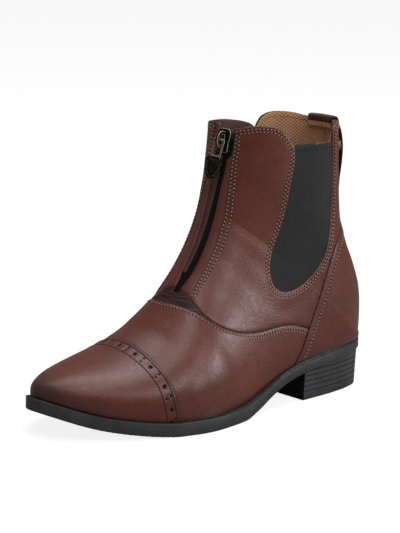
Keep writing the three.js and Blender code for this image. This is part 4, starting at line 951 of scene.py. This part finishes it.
# Runs of places along lines: point, direction, normal, and which of them are sewn
def runs(lines, out, pitch, where, relief=True):
    for u, v in lines:
        run = paced(u, v, out, pitch, relief)
        if run is not None:
            q, t, n, uq, vq = run
            base = skin(uq, vq)
            yield q, t, n, where(-base[:, 1], base[:, 2])


def sew(lines, out, where, pitch=2.6, pattern=STITCH, slot=0):
    for q, t, n, ok in runs(lines, out, pitch, where):
        if ok.any():
            b = unit(np.cross(n, t))
            up = np.cross(t, b)
            stitches.add(pattern, (q + up * 0.1)[ok], t[ok], b[ok], up[ok], slot)
            holes = 0.5 * (q[:-1] + q[1:]) + up[:-1] * 0.03
            pair = ok[:-1] & ok[1:]
            stitches.add(NEEDLE, holes[pair], t[:-1][pair], b[:-1][pair], up[:-1][pair], 1)


on_quarter = lambda s, z: (inside(s, z, QUARTER_FORM) > 1.2) & (inside(s, z, COUNTER_ROOM) < -1.2)
on_vamp = lambda s, z: (inside(s, z, COUNTER_ROOM) < -1.0) & (s < 200)
for depth in ROWS:
    sew(contour(whole, dome_field, depth), LAYER, on_quarter)
sew(contour(vamp_fan, vamp_edge, 1.5), VAMP_LAYER, on_vamp)
sew(contour(vamp_fan, vamp_edge, 3.6), VAMP_LAYER, lambda s, z: on_vamp(s, z) & (s < 135))
sew(contour(counter_fan, counter_edge, 5.2), OVERLAY, lambda s, z: z > 30)
for depth in (1.3, 8.2):
    sew(contour(cap_fan, cap_edge, depth), OVERLAY, lambda s, z: z > 6, 2.0, SMALL_STITCH, slot=2)
ride(stitches.build("stitching", [THREAD, HOLE_SHADE, THREAD_DARK]), "leather")

# Painted shade: dark discs at the bottoms of the punched holes
hole_shade_discs = Bunch()
for (hu, hv), radius in hole_rows:
    p, n = place(hu, hv, np.full(hu.shape, 0.35))
    t = unit(np.cross(n, (0, 0, 1.0)))
    hole_shade_discs.add(disc(radius, 14, 0.0), p, t, np.cross(n, t), n)
ride(hole_shade_discs.build("punched_hole_shades", [HOLE_SHADE]), "leather")

# Lining's stitching along the collar
inner_rows = Bunch()
for q, t, n, ok in runs(contour(rough_fan, rough_fan.keep(), 2.4), -WALL, 2.2,
                        lambda s, z: (z > 140) & (s < LINING_FRONT - 2), False):
    inner_rows.add(THICK_STITCH, (q - n * 0.1)[ok], t[ok], np.cross(n, t)[ok], n[ok])
ride(inner_rows.build("lining_stitching", [THREAD_TAN]), "lining")


# Loops of the sole
def sides(inset, s):
    return side_at(inset_side(OUTER_SIDE, 1, inset), s), side_at(inset_side(INNER_SIDE, -1, inset), s)


def sole_loop(inset, count):
    s = inset + (SOLE_LENGTH - inset - inset) * 0.5 * (1 - np.cos(math.pi * np.arange(count + 1) / count))
    o, i = sides(inset, s)
    for k in (0, -1):
        o[k] = i[k] = (o[k] + i[k]) / 2
    return s, o, i


# Solid from levels of (s, outer, inner, z), with a finish for each step from one to the next
def stack(name, levels, materials, looks):
    m = len(levels[0][0])
    points = np.vstack([np.column_stack([side, -s, z]) for s, o, i, z in levels for side in (o, i)])
    quads, index = [], []
    k = np.arange(m - 1)
    for level, look in enumerate(looks):
        a, b = level * 2 * m, (level + 1) * 2 * m
        quads.append(np.column_stack([a + k, a + k + 1, b + k + 1, b + k]))
        quads.append(np.column_stack([a + m + k, b + m + k, b + m + k + 1, a + m + k + 1]))
        index += [look] * (2 * (m - 1))
    top = len(looks) * 2 * m
    quads.append(np.column_stack([k, m + k, m + k + 1, k + 1]))
    quads.append(np.column_stack([top + k, top + k + 1, top + m + k + 1, top + m + k]))
    return make(name, points, [np.vstack(quads)], materials, index + [0] * (2 * (m - 1)))


def mended(obj, angle=35):
    bm = bmesh.new()
    bm.from_mesh(obj.data)
    bmesh.ops.remove_doubles(bm, verts=bm.verts, dist=0.00001)
    bmesh.ops.dissolve_degenerate(bm, edges=bm.edges, dist=0.00001)
    bmesh.ops.recalc_face_normals(bm, faces=bm.faces)
    bm.to_mesh(obj.data)
    bm.free()
    obj.data.update()
    obj.data.set_sharp_from_angle(angle=math.radians(angle))
    return obj


# Levels of the sole: inset, what its height is measured from, height over that, finish (1 the grey of painted light
# on the side faces, 0 the rubber's black)
RIM = lambda s: seat(s) + rim(s)
SOLE_LEVELS = [
    (1.6, underside, 0.0, 0), (0.75, underside, 0.05, 0), (0.25, underside, 0.35, 1), (0.0, underside, 0.9, 1),
    (0.0, seat, -0.55, 1), (0.1, seat, -0.2, 1), (0.35, seat, 0.0, 0), (0.5, seat, 0.02, 0), (0.55, seat, 0.12, 0),
    (0.6, RIM, -0.3, 0), (0.75, RIM, -0.08, 0), (1.1, RIM, 0.0, 0), (5.0, RIM, 0.0, 0),
]
# Small teeth under the toe's edge
TOOTHED_LEVEL, TEETH_FROM, TEETH_TO, TOOTH, TOOTH_HIGH = 1, 206.0, 262.0, 3.4, 0.5
levels = []
for row, (inset, base, lift, _) in enumerate(SOLE_LEVELS):
    s, o, i = sole_loop(inset, 300)
    teeth = (s > TEETH_FROM) & (s < TEETH_TO) & (np.sin(2 * math.pi * s / TOOTH) > 0) & (row == TOOTHED_LEVEL)
    levels.append((s, o, i, base(s) + lift + teeth * TOOTH_HIGH))
sole = stack("outsole_rubber", levels, [RUBBER_DARK, RUBBER_LIT], [r[3] for r in SOLE_LEVELS[:-1]])
ride(mended(sole), "rubber", "outsole")

# Heel block with its grooves, each a row of steps: height, depth, finish (1 the grey of painted light on the outer
# faces, 0 the rubber's black in the grooves)
HEEL_BREAST = 0.264 * SOLE_LENGTH
HEEL_INSET, HEEL_TAPER, HEEL_TOP = 0.9, 1.2, 27.6
GROOVES = [0.182, 0.29, 0.399, 0.504, 0.61]
GROOVE = [(-0.5, 0.0, 1), (-0.28, 0.22, 1), (-0.16, 0.75, 0), (0.16, 0.75, 0), (0.28, 0.22, 1), (0.5, 0.0, 1)]
heel_levels = [(0.0, 0.9, 0), (0.35, 0.3, 0), (0.9, 0.0, 1),
               *[(share * HEEL_SEAT + z, deep, look) for share in GROOVES for z, deep, look in GROOVE],
               (HEEL_TOP, 0.0, 1)]
levels = []
for z, deep, _ in heel_levels:
    inset = HEEL_INSET + HEEL_TAPER * (1 - z / HEEL_SEAT) + deep
    s = inset + (HEEL_BREAST - deep * 0.3 - inset) * (1 - np.cos(math.pi * np.arange(61) / 120))
    o, i = sides(inset, s)
    o[0] = i[0] = middle = (o[0] + i[0]) / 2
    s, o, i = np.append(s, s[-1] + 0.01), np.append(o, middle), np.append(i, middle)
    levels.append((s, o, i, np.minimum(z, underside(s) - GAP) if z > 20 else np.full(s.shape, z)))
heel = stack("heel_rubber", levels, [RUBBER_DARK, RUBBER_LIT], [look for _, _, look in heel_levels[:-1]])
# The breast, in shade under the waist, takes the rubber's black without the painted light
for poly in heel.data.polygons:
    if poly.center.y < (SHIFT[1] - HEEL_BREAST) * MM + 0.0006 and abs(poly.normal.y) > 0.9:
        poly.material_index = 0
ride(mended(heel), "rubber", "heel_block")

# Footbed
FOOTBED_INSET, FOOTBED_LIFT = FEATHER + WALL + 1.8, 0.6
levels = []
for more, lift in ((0.6, 0.0), (0.0, 1.0), (0.0, INSOLE - 0.5), (0.5, INSOLE), (9, INSOLE - 0.1)):
    s, o, i = sole_loop(FOOTBED_INSET + more, 140)
    levels.append((s, o, i, seat(s) + FOOTBED_LIFT + lift))
ride(mended(stack("footbed_cloth", levels, [FOOTBED], [0] * 4)), "lining", "insole")

# Zip: tape, guard strip and coil
zip_fan = Fan(fine(8.0, TOP_ROW, 1 / 14), np.linspace(-0.42, 0.42, 141))
tape_field = np.minimum(zip_fan.slit(3.5), 0.968 * BOOT_HEIGHT - zip_fan.z)
panel("zip_tape_cloth", zip_fan, tape_field, -WALL - GAP, [TAPE, TAPE], "zip_tape", "zip_cloth", relief=False)
guard_field = zip_fan.in_front(np.minimum.reduce([
    zip_fan.x - (zip_fan.slit_edge(1) + GAP) + 0.4, ZIP_SIDE + 0.5 - zip_fan.x,
    zip_fan.z - 0.5 * BOOT_HEIGHT, 0.89 * BOOT_HEIGHT - zip_fan.z]))
panel("guard_leather", zip_fan, guard_field, -0.6, [LEATHER_DARK, EDGE_TONE_AND_HIGHLIGHT], "zip_guard", relief=False,
      rings=[(0.1, 0.05), (0.2, 0.2), (0.25, 0.5)])

# Where the shaft's front is rounded off sideways from the zip
HALF_SHAFT = 35.0


# Place on the zip's line: at a height and a sideways place, out of the leather
def on_front(z, x, out):
    us, zero = np.linspace(8, TOP_ROW, 400), np.zeros(400)
    line, normal = skin(us, zero), skin_normal(us, zero)
    u = np.interp(z, line[:, 2], us)
    p, n = (np.column_stack([np.interp(u, us, a[:, k]) for k in range(3)]) for a in (line, normal))
    n[:, 0] = 0
    n = unit(n)
    drop = np.abs(x - p[:, 0]) ** 2.4 / HALF_SHAFT ** 1.4 * 0.5
    q = p + n * (out - EASE - drop)[:, None]
    q[:, 0] = x
    return q, n


COIL_PITCH = 1.25
coil = Bunch()
for shift, side in ((0.0, -1), (0.62, 1)):
    z = np.arange(0.45 * BOOT_HEIGHT, 0.965 * BOOT_HEIGHT, COIL_PITCH) + shift
    centre, n = on_front(z, np.full(z.shape, COIL_MIDDLE + side), np.full(z.shape, 0.2 - WALL))
    across = np.tile((1.0, 0, 0), (len(z), 1))
    coil.add(bead(2.6, 0.72, 0.9), centre, across, np.cross(n, across), n)
ride(coil.build("zip_coil", [COIL]), "zip_cloth")


def axes(x, y, z, at):
    return Matrix([*[(x[k], y[k], z[k], at[k]) for k in range(3)], (0, 0, 0, 1)])


# Frame on the front of the shaft for the slider
SLIDER_AT = 0.942
rows, zero = np.linspace(HEEL_ROW, TOP_ROW, 900), np.zeros(1)
slider_row = np.interp([SLIDER_AT], between(LAST[:, 1], rows), rows)
slider_up = (skin(slider_row + 0.3, zero) - skin(slider_row - 0.3, zero))[0]
slider_up[0] = 0
slider_up = unit(slider_up)
slider_at = place(slider_row, zero, zero, False)[0][0]
slider_at[0] = COIL_MIDDLE
SLIDER = axes((-1.0, 0, 0), np.cross((1.0, 0, 0), slider_up), slider_up, slider_at + SHIFT)


# Plates with bevelled, brighter edges: each part is (outline, holes, low, high, upright)
def bevelled(name, parts, frame_matrix):
    joined = bmesh.new()
    for outline, holes, low, high, upright in parts:
        curve = bpy.data.curves.new(name + "_outline", "CURVE")
        curve.dimensions = "2D"
        curve.fill_mode = "BOTH"
        for loop in [outline, *holes]:
            spline = curve.splines.new("POLY")
            spline.points.add(len(loop) - 1)
            for point, (a, b) in zip(spline.points, loop):
                point.co = (a, b, 0, 1)
            spline.use_cyclic_u = True
        curve.extrude = (high - low) / 2
        temp = linked(name + "_temp", curve)
        bm = bmesh.new()
        bm.from_mesh(bpy.data.meshes.new_from_object(temp))
        bmesh.ops.remove_doubles(bm, verts=bm.verts, dist=1e-5)
        bmesh.ops.dissolve_limit(bm, angle_limit=0.01, verts=bm.verts, edges=bm.edges)
        sharp = [e for e in bm.edges if len(e.link_faces) == 2 and e.calc_face_angle(0) > 1.2]
        bmesh.ops.bevel(bm, geom=sharp, offset=0.3, segments=3, profile=0.5, affect="EDGES", material=1,
                        clamp_overlap=True)
        for v in bm.verts:
            a, b, c = v.co
            c += (high + low) / 2
            v.co = (a, c, b) if upright else (c, a, b)
        bmesh.ops.recalc_face_normals(bm, faces=bm.faces)
        part = bpy.data.meshes.new(name + "_part")
        bm.to_mesh(part)
        bm.free()
        joined.from_mesh(part)
        bpy.data.objects.remove(temp)
    mesh = bpy.data.meshes.new(name)
    joined.to_mesh(mesh)
    joined.free()
    mesh.transform(frame_matrix)
    mesh.transform(Matrix.Scale(MM, 4))
    for m in (BRASS_DARK, BRASS_BRIGHT):
        mesh.materials.append(m)
    mesh.polygons.foreach_set("use_smooth", [True] * len(mesh.polygons))
    mesh.set_sharp_from_angle(angle=math.radians(40))
    return linked(name, mesh)


# Outlines of the slider and its pull, from shares of their sizes
def both_sides(half, wide, high):
    half = [(a * wide, b * high) for a, b in half]
    return [*half, *[(-x, z) for x, z in half[::-1]]]


def arched(steps, *rows):
    return catmull([(out, share * SLIDER_HIGH) for out, share in rows], steps).tolist()


SLIDER_HIGH, SLIDER_WIDE = 16.0, 13.0
BODY_TOP, BRIDGE_OUT, BRIDGE_WIDE, BRIDGE_THICK = 1.4, 7.4, 2.4, 1.4
HINGE_OUT, HINGE_HIGH = 4.4, 0.3
body_outline = both_sides([(0.28, -0.5), (0.37, -0.46), (0.4, -0.38), (0.4, -0.05), (0.47, 0.1), (0.5, 0.2),
                           (0.49, 0.34), (0.44, 0.44), (0.3, 0.5)], SLIDER_WIDE, SLIDER_HIGH)
bridge_in = BRIDGE_OUT - BRIDGE_THICK
bridge = arched(26, (BODY_TOP - 0.6, -0.33), (0.72 * BRIDGE_OUT, -0.31), (BRIDGE_OUT, -0.115), (BRIDGE_OUT, 0.157),
                (0.72 * BRIDGE_OUT, 0.357), (BODY_TOP - 0.6, 0.37))
bridge_hole = arched(22, (BODY_TOP + 0.3, -0.215), (0.66 * BRIDGE_OUT, -0.207), (bridge_in, -0.07),
                     (bridge_in, 0.115), (0.66 * BRIDGE_OUT, 0.243), (BODY_TOP + 0.3, 0.25))
slider = bevelled("slider_brass", [(body_outline, [], -0.9, BODY_TOP, True),
                                   (bridge, [bridge_hole], -BRIDGE_WIDE / 2, BRIDGE_WIDE / 2, False)], SLIDER)
ride(slider, "aged_brass", "zip_slider")

PULL_LONG, STEM_LONG, STEM_WIDE, SLOT_WIDE, DROP_WIDE, PULL_THICK, BAR = 27.0, 14.0, 7.6, 5.2, 11.4, 1.5, 0.6
TWIST, LEAN, TILT = 35, 4, 6
turn = lambda degrees, axis: Matrix.Rotation(math.radians(degrees), 4, axis)
PULL = SLIDER @ Matrix.Translation((0, HINGE_OUT, HINGE_HIGH)) @ turn(TILT, "X") @ turn(-LEAN, "Y") @ turn(TWIST, "Z")
drop = catmull(both_sides([(0.2, -0.465), (0.44, -0.475), (0.5, -0.56), (0.47, -0.72), (0.32, -0.88),
                           (0.1, -0.985)], DROP_WIDE, PULL_LONG), 60, True)[:-1]
drop_middle = -0.7 * PULL_LONG
shrunk = lambda k: [(x * k, drop_middle + (z - drop_middle) * k) for x, z in drop]
stem, cut, low, face = STEM_WIDE / 2, SLOT_WIDE / 2, -STEM_LONG, PULL_THICK / 2
stem_outline = [(stem, BAR - 0.4), (stem - 0.4, BAR), (-stem + 0.4, BAR), (-stem, BAR - 0.4),
                (-stem + 0.4, low + 1), (stem - 0.4, low + 1)]
stem_hole = [(cut, -BAR), (-cut, -BAR), (-cut + 0.3, low + 3), (cut - 0.3, low + 3)]
pull = bevelled("pull_brass", [(stem_outline, [stem_hole], -face, face, True),
                               (drop.tolist(), [shrunk(0.8)], -face, face + 0.3, True),
                               (shrunk(0.82), [], -face + 0.1, face - 0.25, True)], PULL)
ride(pull, "aged_brass", "zip_pull", body="pull")

# Back tab and its snap
TAB_THICK, TAB_SHIFT = 1.5, -0.08
TAB_TOP, TAB_BEND = BACK_HIGH + 0.0085, BACK_HIGH - 0.001
IN_FACE, OUT_FACE = -WALL - 3 * GAP - TAB_THICK / 2, LAYER + 2 * GAP + TAB_THICK / 2
TAB_PATH = catmull([
    (0.735, OUT_FACE), (0.765, OUT_FACE + 0.5), (0.805, OUT_FACE + 1.7), (0.848, OUT_FACE + 2.8),
    (0.887, OUT_FACE + 3.3), (0.922, OUT_FACE + 2.8), (0.95, OUT_FACE + 1.7), (0.967, OUT_FACE + 0.5),
    (TAB_BEND, OUT_FACE), (TAB_TOP, OUT_FACE - 1), (TAB_TOP, IN_FACE + 1), (TAB_BEND, IN_FACE - 0.1),
    (0.966, IN_FACE - 0.1), (0.953, IN_FACE - 0.1)], 104)
TAB_PATH[:, 0] = np.minimum(TAB_PATH[:, 0], TAB_TOP)


def back_frame(z, across):
    rows = np.linspace(HEEL_ROW, TOP_ROW, 300)
    u = np.interp(np.minimum(z, 1.03 * BOOT_HEIGHT), between(RAISED, rows), rows)
    v = np.where(across >= 0, 1, -1) - 0.062 * across
    at, out = skin(u, v), skin_normal(u, v)
    out[..., 2] = 0
    at[..., 2] = z
    return at, unit(out)


# Numbers of the points on rings, and the quads from ring to ring
def tube(rings, around):
    ids = np.arange(rings * around).reshape(rings, around)
    then = np.roll(ids, -1, 1)
    return ids, np.column_stack([ids[:-1].ravel(), ids[1:].ravel(), then[1:].ravel(), then[:-1].ravel()])


def ribbon(name, path, thick, materials, steps=20, edge=0.06):
    z, out = path[:, 0] * BOOT_HEIGHT, path[:, 1]
    t = unit(np.gradient(np.column_stack([z, out]), axis=0))
    flat = np.linspace(-1 + edge, 1 - edge, steps)
    turned = [(1 - edge * 0.3, 0.7), (1.0, 0.0), (1 - edge * 0.3, -0.7)]
    profile = [*[(a, 1.0) for a in flat], *turned, *[(-a, -1.0) for a in flat], *[(-a, -h) for a, h in turned]]
    rings = []
    for a, h in profile:
        half = thick / 2 * h
        at, normal = back_frame(z + t[:, 1] * half, np.full(z.shape, a + TAB_SHIFT))
        rings.append(at + normal * (out - EASE - t[:, 0] * half)[:, None])
    points = np.stack(rings, 1)
    m, n = points.shape[:2]
    ids, quads = tube(m, n)
    looks = np.zeros((m - 1, n), int)
    looks[:, steps - 1:steps + 3] = 1
    looks[:, 2 * steps + 2:] = 1
    looks[(path[:-1, 1] < IN_FACE + 0.6) & (path[:-1, 0] < BACK_HIGH - 0.012)] = 2
    ends = np.vstack([ids[0][None], ids[-1][::-1][None]])
    sideways = np.tile([a for a, _ in profile], m) * 9.3
    return make(name, points.reshape(-1, 3), [quads, ends], materials, np.concatenate([looks.ravel(), [1, 2]]),
                {"around": sideways})


# The tab's side edges take the painted-shade edge
tab = ribbon("back_tab_leather", TAB_PATH, TAB_THICK, [LEATHER_DARK, EDGE_SHADE, LINING])
ride(mended(tab, 60), "leather", "back_tab")

# The snap's profile: radius, height
SNAP_PROFILE = [(0, 0), (4.6, 0), (5.2, 0.25), (5.4, 0.7), (5.4, 1.1), (4.9, 1.4), (4.9, 1.9), (5.4, 2.2),
                (5.4, 2.7), (5.0, 3.1), (4.2, 3.3), (0, 3.3)]
SNAP_AT, SNAP_ACROSS, SNAP_TURNS = 0.89 * BOOT_HEIGHT, 0.55, 40
snap_at, snap_out = (a[0] for a in back_frame(np.array([SNAP_AT]), np.array([SNAP_ACROSS])))
snap_side = unit(np.cross(snap_out, (0, 0, 1.0)))
snap_up = np.cross(snap_side, snap_out)
points = []
for r, h in SNAP_PROFILE:
    for a in 2 * math.pi * np.arange(SNAP_TURNS) / SNAP_TURNS:
        around = snap_side * math.cos(a) + snap_up * math.sin(a)
        points.append(snap_at + snap_out * (LAYER + GAP - EASE + h) + around * max(r, 0.01))
snap = make("snap_brass", points, [tube(len(SNAP_PROFILE), SNAP_TURNS)[1]], [BRASS_SNAP])
ride(mended(snap), "aged_brass", "tab_snap")



# Floor, light and camera: the camera sees a white floor and wall, and the part is lit by plainer ones
def by_ray(tree, lit, seen, output):
    choice = tree.nodes.new("ShaderNodeMixShader")
    ray = tree.nodes.new("ShaderNodeLightPath").outputs["Is Camera Ray"]
    for k, socket in enumerate((ray, lit.outputs[0], seen.outputs[0])):
        tree.links.new(socket, choice.inputs[k])
    tree.links.new(choice.outputs[0], tree.nodes[output].inputs[0])


def shader(tree, kind, level, strength=None):
    made = tree.nodes.new(kind)
    made.inputs[0].default_value = (level, level, level, 1)
    if strength is not None:
        made.inputs[1].default_value = strength
    return made


FAR = 6.0
floor_mesh = bpy.data.meshes.new("floor")
floor_mesh.from_pydata([(-FAR, -FAR, 0), (FAR, -FAR, 0), (FAR, FAR, 0), (-FAR, FAR, 0)], [], [(0, 1, 2, 3)])
paint = bpy.data.materials.new("floor_paint")
paint.use_nodes = True
floor_mesh.materials.append(paint)
tree = paint.node_tree
both = tree.nodes.new("ShaderNodeAddShader")
tree.links.new(shader(tree, "ShaderNodeEmission", 1, 0.86).outputs[0], both.inputs[0])
tree.links.new(shader(tree, "ShaderNodeBsdfDiffuse", 0.35).outputs[0], both.inputs[1])
by_ray(tree, shader(tree, "ShaderNodeBsdfDiffuse", 0.3), both, "Material Output")
linked("floor", floor_mesh)

world = bpy.data.worlds.new("studio")
bpy.context.scene.world = world
world.use_nodes = True
tree = world.node_tree
by_ray(tree, shader(tree, "ShaderNodeBackground", 1, 0.2), shader(tree, "ShaderNodeBackground", 1, 1.05),
       "World Output")


def toward(azimuth, elevation):
    turn, rise = math.radians(azimuth), math.radians(elevation)
    return math.sin(turn) * math.cos(rise), -math.cos(turn) * math.cos(rise), math.sin(rise)


# Soft lamps round the part: azimuth, elevation, power, width
LAMP_AWAY = 1.8
for name, azimuth, elevation, power, size in (
        ("top_rear", 180, 70, 8.4, 1.0), ("top_front", 45, 70, 3.4, 0.7), ("top_far", 270, 70, 3.4, 0.7),
        ("side_rear", 135, 12, 6.5, 0.7), ("side", 100, 30, 4.4, 0.7), ("front", 60, 45, 1.8, 0.7)):
    data = bpy.data.lights.new(name, "AREA")
    data.shape = "RECTANGLE"
    data.size = data.size_y = size
    data.energy = power
    away = Vector(toward(azimuth, elevation))
    lamp = linked(name, data)
    lamp.location = Vector((0, 0, 0.08)) + LAMP_AWAY * away
    lamp.rotation_euler = (-away).to_track_quat("-Z", "Y").to_euler()

AZIMUTH, ELEVATION, DISTANCE, ROLL = 48.79, 11.55, 1.451, math.radians(1.53)
TARGET = np.array([-0.00293, -0.005, 0.09716])
FOCAL_PIXELS, FRAME_HIGH, SENSOR = 2171.6, 533, 36.0
back = np.array(toward(AZIMUTH, ELEVATION))
right = unit(np.cross(-back, (0, 0, 1.0)))
up = np.cross(right, -back)
right, up = right * math.cos(ROLL) + up * math.sin(ROLL), up * math.cos(ROLL) - right * math.sin(ROLL)
camera_data = bpy.data.cameras.new("camera")
camera_data.sensor_fit = "AUTO"
camera_data.sensor_width = SENSOR
camera_data.lens = FOCAL_PIXELS / FRAME_HIGH * SENSOR
camera_data.clip_end = 50
camera = linked("camera", camera_data)
camera.matrix_world = axes(right, up, back, TARGET + DISTANCE * back)
bpy.context.scene.camera = camera
bpy.context.scene.view_settings.view_transform = "Standard"
